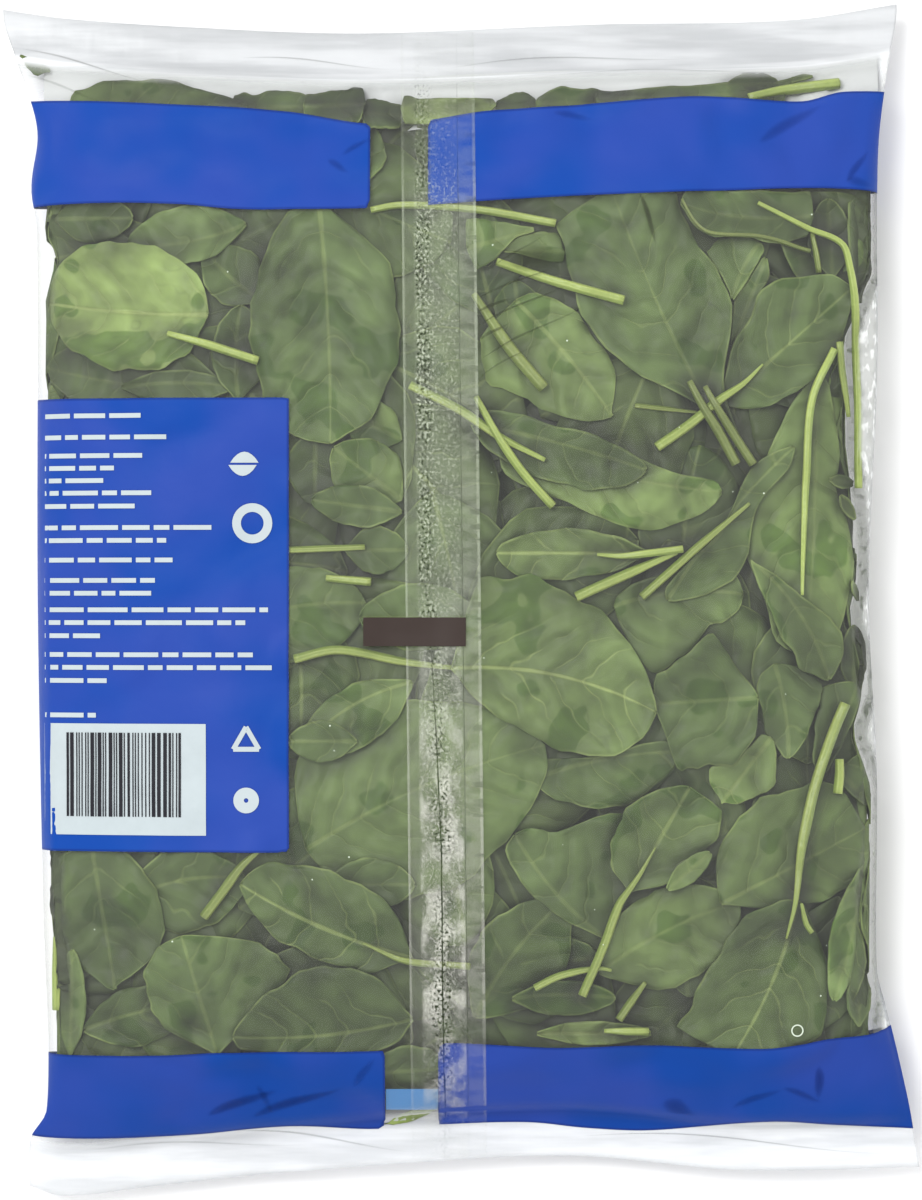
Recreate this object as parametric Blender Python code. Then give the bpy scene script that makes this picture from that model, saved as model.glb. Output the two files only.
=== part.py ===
"""A clear pillow bag of baby spinach, lying on its front with the back seam up.

The bag is one closed solid: the stuffed film pillow, flat where it rests, its two crimped end seals,
the lap seam down its back, and the leaves and stems that press against the film as relief.
X runs across the bag, Y along it towards the top seal, Z up. The origin is on the floor, under the
middle of the bag. The sizes below are millimetres, and every shape is made in metres from them.
"""

import math
import random
from collections import namedtuple

import bmesh
import bpy
from mathutils import Vector

MM = 0.001

BAG_LENGTH = 310.0      # along the middle, from edge to edge; the corners reach a little further

# The film tube lies flat at 240 mm wide, and filling it draws the sides in to about 225 mm.
# Each edge is a smooth curve through a few places: the sides as (y, x), the ends as (x, y).
LEFT_SIDE = (
    (-160, -116), (-143, -116), (-132, -111), (-80, -112), (0, -113.4), (98, -113.7),
    (109, -115.2), (125, -113.7), (142, -119.6), (152, -123.2), (162, -123.2),
)
RIGHT_SIDE = (
    (-155, 123.6), (-140, 120.8), (-125, 117.4), (-112, 114.2), (-101, 111.6), (-50, 111.5),
    (0, 109.3), (60, 111.6), (116, 111.8), (136, 114.2), (153, 117.4), (162, 116.2),
)
TOP_END = (
    (-124, 159.2), (-106, 156.6), (-76, 154.5), (-25, 152.8), (40, 155.2), (90, 156.4), (118, 160.6),
)
BOTTOM_END = (
    (-117, -157.6), (-107, -160.5), (-83, -158.1), (-45, -154.1), (26, -149.8), (75, -153.6), (124, -152.8),
)

# The pillow
CROWN = 47.0            # highest point of the film over the floor
SIDE_FOLD = 19.0        # height of the side folds at the middle of the bag
SEAL_HEIGHT = 12.0      # height of the end seals where they leave the pillow
SEAL_DROOP = 2.5        # how far their free edges hang below that
FOLD_RISE = 0.7         # a lower power lifts the side folds sooner as they leave the seals
BELLY = 25.0            # how far the underside would hang below the folds if the floor did not flatten it
FILM = 1.2              # thickness that stands for the two films of a seal or a fold
FULLNESS_POWER = 3.0    # along the bag: a higher power keeps it full nearer the seals
FULLNESS_ROOT = 0.62
SECTION_POWER = 3.4     # across the bag: a higher power makes the sides rounder and the back flatter
SECTION_ROOT = 0.52

# The end seals
SEAL_WIDTH = 12.5
CRIMP_PITCH = 2.5
CRIMP_DEPTH = 0.3
SEAL_WAVE = 1.1         # slow waves of the free edges
SEAL_WAVE_STRETCH = 17.0
TOP_WAVE_START = 0.8
BOTTOM_WAVE_START = 2.4
GATHER = 1.5            # folds that run from the seals into the pillow
GATHER_REACH = 24.0
GATHER_COUNT = 9.5
GATHER_START = 6.0      # distance from a seal at which they are fully grown

# Lumps of the leaf heap under the film: one near each crossing of an even grid
LUMP_COLUMNS = 5
LUMP_ROWS = 6
FIRST_LUMP = (-88.0, -115.0)
LUMP_SPACING = (44.0, 46.0)
LUMP_SCATTER = (14.0, 15.0)
LUMP_HEIGHT = 2.3
LUMP_RADIUS = (18.0, 32.0)
SEED = 11

# Grid of the films: crowded towards the side folds and, less so, towards the seals
COLUMNS = 24
COLUMN_CROWDING = 0.65
BODY_ROWS = 26
ROW_CROWDING = 0.11

# The back seam: a lap of film that runs from end to end, a little left of the middle
SEAM_TOP = (-16.2, 3.4)
SEAM_BOTTOM = (-13.1, 7.0)
SEAM_LIFT = 0.9
SEAM_ROOT = 2.0         # how far its solid reaches down into the heap, between the seals
SEAM_ROWS = 34
END_CLEARANCE = 0.6     # how far it stops short of the bag's end edges
SIDE_CLEARANCE = 1.2    # how far the relief stays inside the side folds

# Leaves and stems
LEAF_LIFT = 1.3         # how far a leaf of the first layer stands out of the heap
LAYER_LIFT = 0.75       # and each layer above it
LEAF_ROOT = 3.2         # how far its solid reaches down into the heap
LEAF_WAVE = 0.35
LEAF_CUP = 0.5
LEAF_END = 1.1          # half the width that a blade still has at its tip and its stalk
LEAF_LEAN = 0.82        # below 1, the widest place of a blade is nearer its stalk
LEAF_ROUNDNESS = 0.7    # a lower power makes a blade rounder
WIDE_LEAF = 22.0        # wider blades than this get the finer grid
WIDE_LEAF_GRID = (6, 4)
NARROW_LEAF_GRID = (5, 2)
STEM_DIAMETER = 2.5
STEM_SIDES_RESOLUTION = 1
STEM_STEP = 12.0
STEM_SINK = 0.2         # how far a stem's middle lies below the leaves of its layer

SHARP_ANGLE = 35.0      # degrees between faces from which an edge is drawn sharp

Leaf = namedtuple("Leaf", "name base_x base_y tip_x tip_y width layer")
LEAVES = (
    Leaf("panel_upper", -58, 34, -104, 24, 30, 0),
    Leaf("panel_middle", -108, -22, -66, -30, 32, 0),
    Leaf("panel_lower", -60, -52, -102, -54, 28, 0),
    Leaf("top_left_tip", -52, 116, -84, 134, 24, 0),
    Leaf("top_right_tip", 44, 118, 88, 134, 26, 0),
    Leaf("left_under", -63, 57, -112, 62, 24, 0),
    Leaf("upper_small", -58, 99, -90, 96, 16, 0),
    Leaf("upper_pale", -71, 76, -110, 81, 34, 1),
    Leaf("left_round", -63, -7, -26, -1, 26, 0),
    Leaf("below_centre", -17, 27, -34, 41, 19, 0),
    Leaf("centre_big", -38, 105, -35, 43, 40, 1),
    Leaf("pale_mid", 10, 80, 40, 49, 26, 0),
    Leaf("crown_big", 65, 54, 40, 108, 45, 1),
    Leaf("small_upper", 64, 96, 82, 72, 14, 0),
    Leaf("curled_top", 97, 99, 61, 106, 16, 1),
    Leaf("fan_right", 70, 54, 106, 84, 29, 1),
    Leaf("long_right", 97, 60, 91, -11, 31, 0),
    Leaf("folded_right", 79, 11, 98, -21, 20, 1),
    Leaf("wavy_dark", 6, 47, 49, 35, 16, 1),
    Leaf("pale_long", 8, 46, 69, 30, 25, 0),
    Leaf("oval_mid", 48, 13, 10, 12, 16, 1),
    Leaf("blade_mid", 61, 13, 86, 38, 22, 0),
    Leaf("soft_mid", 43, -11, 76, 1, 23, 0),
    Leaf("right_of_mid", 78, -24, 51, -33, 30, 0),
    Leaf("right_small", 80, -21, 93, -41, 20, 0),
    Leaf("pale_small", 84, -38, 71, -55, 18, 1),
    Leaf("crescent", -14, -22, -43, -41, 16, 0),
    Leaf("round_seam", -43, -64, 24, -39, 52, 0),
    Leaf("dark_mid", 21, -51, 58, -40, 24, 1),
    Leaf("big_mid", -6, -17, 52, -30, 48, 2),
    Leaf("notched", 39, -91, 18, -60, 31, 0),
    Leaf("right_round", 71, -82, 107, -64, 33, 0),
    Leaf("fork_leaf", 45, -79, 61, -50, 28, 1),
    Leaf("pale_lower", 37, -100, 74, -82, 26, 0),
    Leaf("lower_right", 90, -81, 74, -122, 40, 1),
    Leaf("dark_left_low", 4, -113, 27, -82, 24, 0),
    Leaf("strip_right", 107, -72, 101, -108, 9, 1),
    Leaf("left_tall", -100, -66, -94, -105, 26, 1),
    Leaf("veined_low", -14, -96, -59, -77, 27, 0),
    Leaf("left_fold", -66, -123, -74, -91, 38, 0),
    Leaf("dark_low", -13, -113, -61, -117, 26, 1),
)

Stem = namedtuple("Stem", "name layer route")
STEMS = (
    Stem("under_pale", 2, ((-79, 72), (-54, 64))),
    Stem("across_seam_top", 1, ((-24, 105), (-16, 106), (3, 105), (25, 101))),
    Stem("cut_upper", 2, ((10, 91), (44, 80))),
    Stem("cut_mid", 1, ((4, 80), (22, 57))),
    Stem("long_leaf", 1, ((-14, 58), (2, 50), (21, 39))),
    Stem("crossing", 2, ((4, 54), (14, 40), (25, 25))),
    Stem("crown", 1, ((65, 54), (71, 43), (77, 34))),
    Stem("fan", 1, ((70, 54), (53, 41))),
    Stem("right_edge", 2, ((80, 107), (94, 100), (103, 96), (106, 83), (106, 30))),
    Stem("long_right", 1, ((101, 68), (95, 54), (93, 33), (92, 2))),
    Stem("pale_cut", 1, ((31, 1), (57, 13))),
    Stem("blade", 1, ((49, 1), (64, 15), (77, 26))),
    Stem("big_mid", 1, ((-45, -16), (-33, -13), (-15, -17), (0, -19))),
    Stem("lower_right", 1, ((103, -28), (95, -52), (91, -71), (90, -81))),
    Stem("fork", 1, ((45, -79), (39, -92), (33, -107))),
    Stem("panel_edge", 1, ((-69, -85), (-59, -72), (-54, -67))),
    Stem("left_edge", 1, ((-109, -91), (-109, -111))),
)


def smooth_between(points, at):
    """The value at a place on the smooth curve through these (place, value) points."""
    if at <= points[0][0]:
        return points[0][1]
    if at >= points[-1][0]:
        return points[-1][1]
    last = len(points) - 1
    index = max(i for i in range(last) if points[i][0] <= at)

    def slope(i):
        low, high = points[max(i - 1, 0)], points[min(i + 1, last)]
        return (high[1] - low[1]) / (high[0] - low[0])

    (start, value), (end, next_value) = points[index], points[index + 1]
    span = end - start
    t = (at - start) / span
    return (
        value * (1 + 2 * t) * (1 - t) ** 2
        + next_value * t * t * (3 - 2 * t)
        + span * t * (1 - t) * (slope(index) * (1 - t) - slope(index + 1) * t)
    )


def end_distances(x, y):
    """How far a place is from the bag's bottom edge and from its top edge, along the bag."""
    return y - smooth_between(BOTTOM_END, x), smooth_between(TOP_END, x) - y


def across(x, y):
    """Where a place is across the bag: -1 at the left fold, 0 in the middle, 1 at the right fold."""
    left, right = smooth_between(LEFT_SIDE, y), smooth_between(RIGHT_SIDE, y)
    return (2 * x - left - right) / (right - left)


def fullness(x, y):
    """0 on the seals, 1 in the middle of the bag."""
    below, above = end_distances(x, y)
    inner = below + above - 2 * SEAL_WIDTH
    along = min(1.0, abs(2 * (below - SEAL_WIDTH) / inner - 1))
    return (1 - along**FULLNESS_POWER) ** FULLNESS_ROOT


def make_lumps():
    """Low round swellings where leaves bunch up, spread evenly over the back by a seeded draw."""
    draw = random.Random(SEED)
    lumps = []
    for index in range(LUMP_COLUMNS * LUMP_ROWS):
        column, row = index % LUMP_COLUMNS, index // LUMP_COLUMNS
        lumps.append((
            FIRST_LUMP[0] + LUMP_SPACING[0] * column + LUMP_SCATTER[0] * draw.uniform(-1, 1),
            FIRST_LUMP[1] + LUMP_SPACING[1] * row + LUMP_SCATTER[1] * draw.uniform(-1, 1),
            draw.uniform(*LUMP_RADIUS),
            LUMP_HEIGHT * draw.uniform(-1, 1),
        ))
    return lumps


LUMPS = make_lumps()


def fold_height(x, y):
    """Height of the seals and of the side folds, halfway between the two films."""
    below, above = end_distances(x, y)
    height = SEAL_HEIGHT + (SIDE_FOLD - SEAL_HEIGHT) * fullness(x, y) ** FOLD_RISE
    outside = max(0.0, 1 - min(below, above) / SEAL_WIDTH)
    start = TOP_WAVE_START if above < below else BOTTOM_WAVE_START
    wave = SEAL_WAVE * math.sin(x / SEAL_WAVE_STRETCH + start)
    return height + outside * (wave - SEAL_DROOP)


def section(x, y):
    """0 at the side folds, 1 over most of the bag's width."""
    s = min(1.0, abs(across(x, y)))
    return (1 - s**SECTION_POWER) ** SECTION_ROOT


def back_height(x, y):
    """Height of the upper film, in millimetres."""
    fill = fullness(x, y) * section(x, y)
    lumps = sum(h * math.exp(-((x - lx) ** 2 + (y - ly) ** 2) / (r * r)) for lx, ly, r, h in LUMPS)
    below, above = end_distances(x, y)
    from_seal = max(0.0, min(below, above) - SEAL_WIDTH)
    gather = GATHER * math.sin(GATHER_COUNT * math.pi * across(x, y) + (1.0 if above < below else 0.0))
    gather *= math.exp(-from_seal / GATHER_REACH) * min(1.0, from_seal / GATHER_START) * section(x, y)
    return fold_height(x, y) + FILM / 2 + (CROWN - SIDE_FOLD) * fill + lumps * fill + gather


def floor_height(x, y):
    """Height of the lower film: the floor flattens the middle of it."""
    return max(0.0, fold_height(x, y) - FILM / 2 - BELLY * fullness(x, y) * section(x, y))


def row_places():
    """Rows along the bag as (place, crimp): place is 0 at the bottom edge and 1 at the top, and crimp is how
    far that row of a seal is pressed up or down."""
    inner = SEAL_WIDTH / BAG_LENGTH
    crimps = round(2 * SEAL_WIDTH / CRIMP_PITCH)
    seal = [(inner * i / crimps, CRIMP_DEPTH * (-1) ** i) for i in range(crimps)]
    body = []
    for i in range(BODY_ROWS + 1):
        even = i / BODY_ROWS
        eased = even - ROW_CROWDING * math.sin(2 * math.pi * even)
        body.append((inner + (1 - 2 * inner) * eased, 0.0))
    return seal + body + [(1 - place, crimp) for place, crimp in reversed(seal)]


def pillow_mesh():
    """The upper film as a grid, the lower film as its copy, and the fold between them."""
    rows = row_places()
    mesh = bmesh.new()
    bmesh.ops.create_grid(mesh, x_segments=COLUMNS, y_segments=len(rows) - 1, size=1)
    upper = sorted(mesh.verts, key=lambda v: (round(v.co.y, 4), v.co.x))
    places = {}
    for index, vert in enumerate(upper):
        place, crimp = rows[index // (COLUMNS + 1)]
        t = 2 * (index % (COLUMNS + 1)) / COLUMNS - 1
        s = COLUMN_CROWDING * math.sin(t * math.pi / 2) + (1 - COLUMN_CROWDING) * t
        rough_y = BAG_LENGTH * (place - 0.5)
        left, right = smooth_between(LEFT_SIDE, rough_y), smooth_between(RIGHT_SIDE, rough_y)
        x = (left + right + s * (right - left)) / 2
        low, high = smooth_between(BOTTOM_END, x), smooth_between(TOP_END, x)
        places[vert] = (x, low + place * (high - low), crimp)
    copied = bmesh.ops.duplicate(mesh, geom=mesh.verts[:] + mesh.edges[:] + mesh.faces[:])
    lower_of = {v: copied["vert_map"][v] for v in upper}
    for vert, (x, y, crimp) in places.items():
        vert.co = Vector((x, y, back_height(x, y) + crimp)) * MM
        lower_of[vert].co = Vector((x, y, floor_height(x, y) + crimp)) * MM
    bmesh.ops.bridge_loops(mesh, edges=[e for e in mesh.edges if e.is_boundary])
    bmesh.ops.recalc_face_normals(mesh, faces=mesh.faces[:])
    return mesh


def sheet_to_slab(mesh, depth_at):
    """Makes an open sheet on the back a closed slab whose underside is depth_at(x, y) deeper."""
    bmesh.ops.triangulate(mesh, faces=mesh.faces[:], quad_method="FIXED")
    grown = bmesh.ops.extrude_face_region(mesh, geom=mesh.faces[:], use_keep_orig=True)
    for vert in (part for part in grown["geom"] if isinstance(part, bmesh.types.BMVert)):
        vert.co.z -= depth_at(vert.co.x / MM, vert.co.y / MM) * MM
    bmesh.ops.recalc_face_normals(mesh, faces=mesh.faces[:])
    return mesh


def on_back(x, y, lift):
    """A place on the upper film, kept just inside the side folds, raised by lift."""
    left = smooth_between(LEFT_SIDE, y) + SIDE_CLEARANCE
    right = smooth_between(RIGHT_SIDE, y) - SIDE_CLEARANCE
    x = min(max(x, left), right)
    return Vector((x, y, back_height(x, y) + lift)) * MM


def leaf_mesh(leaf):
    """An egg-shaped blade that follows the heap, with a sunk midrib and a gentle wave."""
    base, tip = Vector((leaf.base_x, leaf.base_y)), Vector((leaf.tip_x, leaf.tip_y))
    along = tip - base
    side = Vector((-along.y, along.x)).normalized()
    lengthwise, crosswise = WIDE_LEAF_GRID if leaf.width > WIDE_LEAF else NARROW_LEAF_GRID
    mesh = bmesh.new()
    bmesh.ops.create_grid(mesh, x_segments=lengthwise, y_segments=crosswise, size=1)
    for vert in mesh.verts:
        u, k = (vert.co.x + 1) / 2, vert.co.y
        bulge = abs(math.sin(math.pi * u**LEAF_LEAN)) ** LEAF_ROUNDNESS
        half = LEAF_END + (leaf.width / 2 - LEAF_END) * bulge
        spot = base + along * u + side * (k * half)
        wave = LEAF_WAVE * math.sin(5 * u + 2 * k + leaf.base_x)
        lift = LEAF_LIFT + LAYER_LIFT * leaf.layer + LEAF_CUP * (abs(k) - 0.5) + wave
        vert.co = on_back(spot.x, spot.y, lift)
    return sheet_to_slab(mesh, lambda x, y: LEAF_ROOT + LAYER_LIFT * leaf.layer)


def seam_mesh():
    """The lap of film down the back, thinner where it runs over the end seals."""
    mesh = bmesh.new()
    bmesh.ops.create_grid(mesh, x_segments=3, y_segments=SEAM_ROWS, size=1)
    for vert in mesh.verts:
        share, v = (vert.co.x + 1) / 2, (vert.co.y + 1) / 2
        left = SEAM_BOTTOM[0] + (SEAM_TOP[0] - SEAM_BOTTOM[0]) * v
        right = SEAM_BOTTOM[1] + (SEAM_TOP[1] - SEAM_BOTTOM[1]) * v
        x = left + (right - left) * share
        low = smooth_between(BOTTOM_END, x) + END_CLEARANCE
        high = smooth_between(TOP_END, x) - END_CLEARANCE
        y = low + (high - low) * v
        vert.co = on_back(x, y, SEAM_LIFT)

    def depth(x, y):
        return SEAM_LIFT + FILM / 2 + SEAM_ROOT * min(1.0, 3 * fullness(x, y))

    return sheet_to_slab(mesh, depth)


def stem_mesh(stem):
    """A round stalk that lies on the heap: a bevelled curve with filled ends, made a mesh."""
    route = [Vector(place) for place in stem.route]
    spots = []
    for start, end in zip(route, route[1:]):
        count = max(1, round((end - start).length / STEM_STEP))
        spots += [start.lerp(end, i / count) for i in range(count)]
    spots.append(route[-1])
    curve = bpy.data.curves.new(stem.name, "CURVE")
    curve.dimensions = "3D"
    curve.bevel_depth = STEM_DIAMETER / 2 * MM
    curve.bevel_resolution = STEM_SIDES_RESOLUTION
    curve.use_fill_caps = True
    line = curve.splines.new("POLY")
    line.points.add(len(spots) - 1)
    lift = LEAF_LIFT + LAYER_LIFT * stem.layer - STEM_SINK
    for point, spot in zip(line.points, spots):
        point.co = (*on_back(spot.x, spot.y, lift), 1)
    holder = bpy.data.objects.new(stem.name, curve)
    bpy.context.scene.collection.objects.link(holder)
    bpy.context.view_layer.update()
    mesh = bmesh.new()
    mesh.from_mesh(holder.evaluated_get(bpy.context.evaluated_depsgraph_get()).to_mesh())
    bpy.data.objects.remove(holder)
    bpy.data.curves.remove(curve)
    bmesh.ops.remove_doubles(mesh, verts=mesh.verts[:], dist=1e-6)
    bmesh.ops.recalc_face_normals(mesh, faces=mesh.faces[:])
    return mesh


def add_object(name, mesh, collection):
    data = bpy.data.meshes.new(name)
    mesh.to_mesh(data)
    mesh.free()
    made = bpy.data.objects.new(name, data)
    collection.objects.link(made)
    return made


def keep_outer_shell(data):
    """Fills the hollows that fusing sealed between slabs: only the largest shell stays."""
    mesh = bmesh.new()
    mesh.from_mesh(data)
    left, shells = set(mesh.faces), []
    while left:
        shell, waiting = set(), [left.pop()]
        while waiting:
            face = waiting.pop()
            shell.add(face)
            for near in {f for e in face.edges for f in e.link_faces} & left:
                left.discard(near)
                waiting.append(near)
        shells.append(shell)
    shells.sort(key=len)
    for shell in shells[:-1]:
        bmesh.ops.delete(mesh, geom=list(shell), context="FACES")
    print(f"fused relief: {len(shells)} shells, {len(shells[-1])} faces kept")
    mesh.to_mesh(data)
    mesh.free()


def join_relief(bag, relief):
    """Fuses every object of the relief collection with the bag, then removes them."""
    join = bag.modifiers.new("relief", "BOOLEAN")
    join.operation = "UNION"
    join.operand_type = "COLLECTION"
    join.collection = relief
    join.solver = "EXACT"
    bpy.context.view_layer.update()
    fused = bpy.data.meshes.new_from_object(bag.evaluated_get(bpy.context.evaluated_depsgraph_get()))
    bag.modifiers.remove(join)
    plain = bag.data
    bag.data = fused
    keep_outer_shell(bag.data)
    bag.data.name = "bag"
    bpy.data.meshes.remove(plain)
    for piece in list(relief.objects):
        bpy.data.meshes.remove(piece.data)
    bpy.data.collections.remove(relief)


def film_material():
    material = bpy.data.materials.new("clear_film_over_leaves")
    material.use_nodes = True
    shader = material.node_tree.nodes["Principled BSDF"]
    shader.inputs["Base Color"].default_value = (0.16, 0.2, 0.11, 1)
    shader.inputs["Roughness"].default_value = 0.3
    shader.inputs["Metallic"].default_value = 0
    return material


def main():
    for thing in list(bpy.data.objects):
        bpy.data.objects.remove(thing)
    scene = bpy.context.scene.collection
    bag = add_object("bag", pillow_mesh(), scene)
    relief = bpy.data.collections.new("relief")
    scene.children.link(relief)
    add_object("seam", seam_mesh(), relief)
    for leaf in LEAVES:
        add_object(leaf.name, leaf_mesh(leaf), relief)
    for stem in STEMS:
        add_object(stem.name + "_stem", stem_mesh(stem), relief)
    join_relief(bag, relief)
    bag.data.materials.clear()
    bag.data.materials.append(film_material())
    bag.data.shade_smooth()
    bag.data.set_sharp_from_angle(angle=math.radians(SHARP_ANGLE))


main()
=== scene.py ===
# %% [markdown]
# # A clear bag of spinach leaves
# A pillow bag is a tube of thin clear film, crimped shut at both ends and lapped down its back. It holds
# loose leaves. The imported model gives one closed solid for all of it. Here that solid is swapped for what
# can be seen: the film with its print, the leaves that press against it, their stalks, and darker leaves
# behind them. Sizes are in millimetres until a mesh is written, which is in metres.

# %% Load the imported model
import math
import random
from collections import namedtuple

import bmesh
import bpy
import numpy as np
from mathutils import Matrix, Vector
from mathutils.bvhtree import BVHTree


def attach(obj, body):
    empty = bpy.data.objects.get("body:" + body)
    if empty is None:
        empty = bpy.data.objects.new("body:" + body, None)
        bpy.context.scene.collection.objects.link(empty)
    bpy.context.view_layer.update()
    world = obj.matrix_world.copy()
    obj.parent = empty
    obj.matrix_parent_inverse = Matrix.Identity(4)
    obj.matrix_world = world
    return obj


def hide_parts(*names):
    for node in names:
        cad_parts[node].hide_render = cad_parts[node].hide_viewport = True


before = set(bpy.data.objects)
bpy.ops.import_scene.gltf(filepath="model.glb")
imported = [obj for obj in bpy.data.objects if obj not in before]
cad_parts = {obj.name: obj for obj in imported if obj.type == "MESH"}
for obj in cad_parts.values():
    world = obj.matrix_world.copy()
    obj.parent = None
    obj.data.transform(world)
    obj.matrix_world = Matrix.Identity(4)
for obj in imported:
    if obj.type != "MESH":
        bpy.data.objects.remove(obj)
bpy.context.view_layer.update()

MM = 0.001

# %% [markdown]
# ## The form of the bag
# The outline is drawn by smooth curves through a few places, and the height by how full the bag is there.
# These are the same curves and sizes that the solid was made from, so the film lies where the solid's skin
# does. Heights could also be read from the solid by rays, but it has leaves fused on, and the film and the
# leaves need the plain pillow between them.

# %% Outline curves
LEFT_SIDE = (
    (-160, -116), (-143, -116), (-132, -111), (-80, -112), (0, -113.4), (98, -113.7),
    (109, -115.2), (125, -113.7), (142, -119.6), (152, -123.2), (162, -123.2),
)
RIGHT_SIDE = (
    (-155, 123.6), (-140, 120.8), (-125, 117.4), (-112, 114.2), (-101, 111.6), (-50, 111.5),
    (0, 109.3), (60, 111.6), (116, 111.8), (136, 114.2), (153, 117.4), (162, 116.2),
)
TOP_END = (
    (-124, 159.2), (-106, 156.6), (-76, 154.5), (-25, 152.8), (40, 155.2), (90, 156.4), (118, 160.6),
)
BOTTOM_END = (
    (-117, -157.6), (-107, -160.5), (-83, -158.1), (-45, -154.1), (26, -149.8), (75, -153.6), (124, -152.8),
)


def curve_through(points, at):
    """Values on the smooth curve through (place, value) points, for any array of places."""
    places, values = np.array(points, float).T
    last = len(places) - 1
    before, after = np.maximum(np.arange(last + 1) - 1, 0), np.minimum(np.arange(last + 1) + 1, last)
    slopes = (values[after] - values[before]) / (places[after] - places[before])
    at = np.clip(at, places[0], places[-1])
    i = np.clip(np.searchsorted(places, at, side="right") - 1, 0, last - 1)
    span = places[i + 1] - places[i]
    t = (at - places[i]) / span
    ends = values[i] * (1 + 2 * t) * (1 - t) ** 2 + values[i + 1] * t * t * (3 - 2 * t)
    return ends + span * t * (1 - t) * (slopes[i] * (1 - t) - slopes[i + 1] * t)


def sides(y):
    return curve_through(LEFT_SIDE, y), curve_through(RIGHT_SIDE, y)


def ends(x):
    return curve_through(BOTTOM_END, x), curve_through(TOP_END, x)


# Where the leaves end inside the film: the right side of the bag is clear film for a third of its length.
HEAP_LEFT = (
    (-121, -110.7), (-96, -110.3), (-80, -111.2), (-67, -111.5), (0, -112.4), (55, -112.3), (59, -112.3),
    (63, -113), (80, -112.6), (83, -111.8), (87, -110.6), (91, -110), (94, -111), (97, -113), (105, -112.3),
)
HEAP_RIGHT = (
    (-121, 111), (-113, 110.1), (-103, 111.2), (-91, 111.8), (-70, 111.5), (-54, 111.2), (-48, 109.9),
    (-40, 107.2), (-35, 105.6), (-31, 106.9), (-24, 108.8), (-13, 108), (-8, 105.1), (-4, 104.3), (5, 106.1),
    (16, 106.1), (27, 105.3), (35, 104.3), (43, 103.4), (54, 103.7), (70, 103.2), (76, 105.1), (80, 106.9),
    (84, 108.5), (88, 110.4), (108, 110.4),
)


def heap_sides(y):
    left, right = sides(y)
    heap_left, heap_right = curve_through(HEAP_LEFT, y), curve_through(HEAP_RIGHT, y)
    return np.maximum(heap_left, left + 1), np.minimum(heap_right, right - 1)


print("the middle of the bag is", round(float(sides(0)[1] - sides(0)[0]), 1), "mm wide")

# %% Heights of the two films
CROWN, SIDE_FOLD, SEAL_HEIGHT, SEAL_DROOP, BELLY = 47.0, 19.0, 12.0, 2.5, 25.0
SEAL_WIDTH = 12.5
FILM_GAP = 0.6
LEAST_HEIGHT = 0.05
FULLNESS_POWER, FULLNESS_ROOT = 3, 0.62
SECTION_POWER, SECTION_ROOT = 3.4, 0.52
FOLD_RISE = 0.7
SEAL_WAVE, SEAL_WAVE_STRETCH, TOP_WAVE_START, BOTTOM_WAVE_START = 1.1, 17, 0.8, 2.4
GATHER, GATHER_REACH, GATHER_COUNT, GATHER_START, TOP_GATHER_SHIFT = 1.5, 24, 9.5, 6, 1.0
LUMP_COLUMNS, LUMP_ROWS = 5, 6
FIRST_LUMP, LUMP_SPACING, LUMP_SCATTER = (-88, -115), (44, 46), (14, 15)
LUMP_RADIUS, LUMP_HEIGHT = (18, 32), 2.3
RAY_START = 200


def from_ends(x, y):
    low, high = ends(x)
    return y - low, high - y


def across(x, y):
    left, right = sides(y)
    return (2 * x - left - right) / (right - left)


def fullness(x, y):
    below, above = from_ends(x, y)
    along = np.abs(2 * (below - SEAL_WIDTH) / (below + above - 2 * SEAL_WIDTH) - 1)
    return (1 - np.minimum(1, along) ** FULLNESS_POWER) ** FULLNESS_ROOT


def section(x, y):
    return (1 - np.minimum(1, np.abs(across(x, y))) ** SECTION_POWER) ** SECTION_ROOT


def fold_height(x, y):
    below, above = from_ends(x, y)
    height = SEAL_HEIGHT + (SIDE_FOLD - SEAL_HEIGHT) * fullness(x, y) ** FOLD_RISE
    outside = np.maximum(0, 1 - np.minimum(below, above) / SEAL_WIDTH)
    start = np.where(above < below, TOP_WAVE_START, BOTTOM_WAVE_START)
    return height + outside * (SEAL_WAVE * np.sin(x / SEAL_WAVE_STRETCH + start) - SEAL_DROOP)


draw = random.Random(11)
LUMPS = []
for row in range(LUMP_ROWS):
    for column in range(LUMP_COLUMNS):
        LUMPS.append((
            FIRST_LUMP[0] + LUMP_SPACING[0] * column + LUMP_SCATTER[0] * draw.uniform(-1, 1),
            FIRST_LUMP[1] + LUMP_SPACING[1] * row + LUMP_SCATTER[1] * draw.uniform(-1, 1),
            draw.uniform(*LUMP_RADIUS),
            LUMP_HEIGHT * draw.uniform(-1, 1),
        ))


def back_height(x, y):
    fill = fullness(x, y) * section(x, y)
    lumps = sum(h * np.exp(-((x - lx) ** 2 + (y - ly) ** 2) / (r * r)) for lx, ly, r, h in LUMPS)
    below, above = from_ends(x, y)
    inward = np.maximum(0, np.minimum(below, above) - SEAL_WIDTH)
    shift = np.where(above < below, TOP_GATHER_SHIFT, 0.0)
    gather = GATHER * np.sin(GATHER_COUNT * np.pi * across(x, y) + shift)
    gather = gather * np.exp(-inward / GATHER_REACH) * np.minimum(1, inward / GATHER_START) * section(x, y)
    return fold_height(x, y) + FILM_GAP / 2 + (CROWN - SIDE_FOLD + lumps) * fill + gather


def floor_height(x, y):
    hang = BELLY * fullness(x, y) * section(x, y)
    return np.maximum(LEAST_HEIGHT, fold_height(x, y) - FILM_GAP / 2 - hang)


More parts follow.
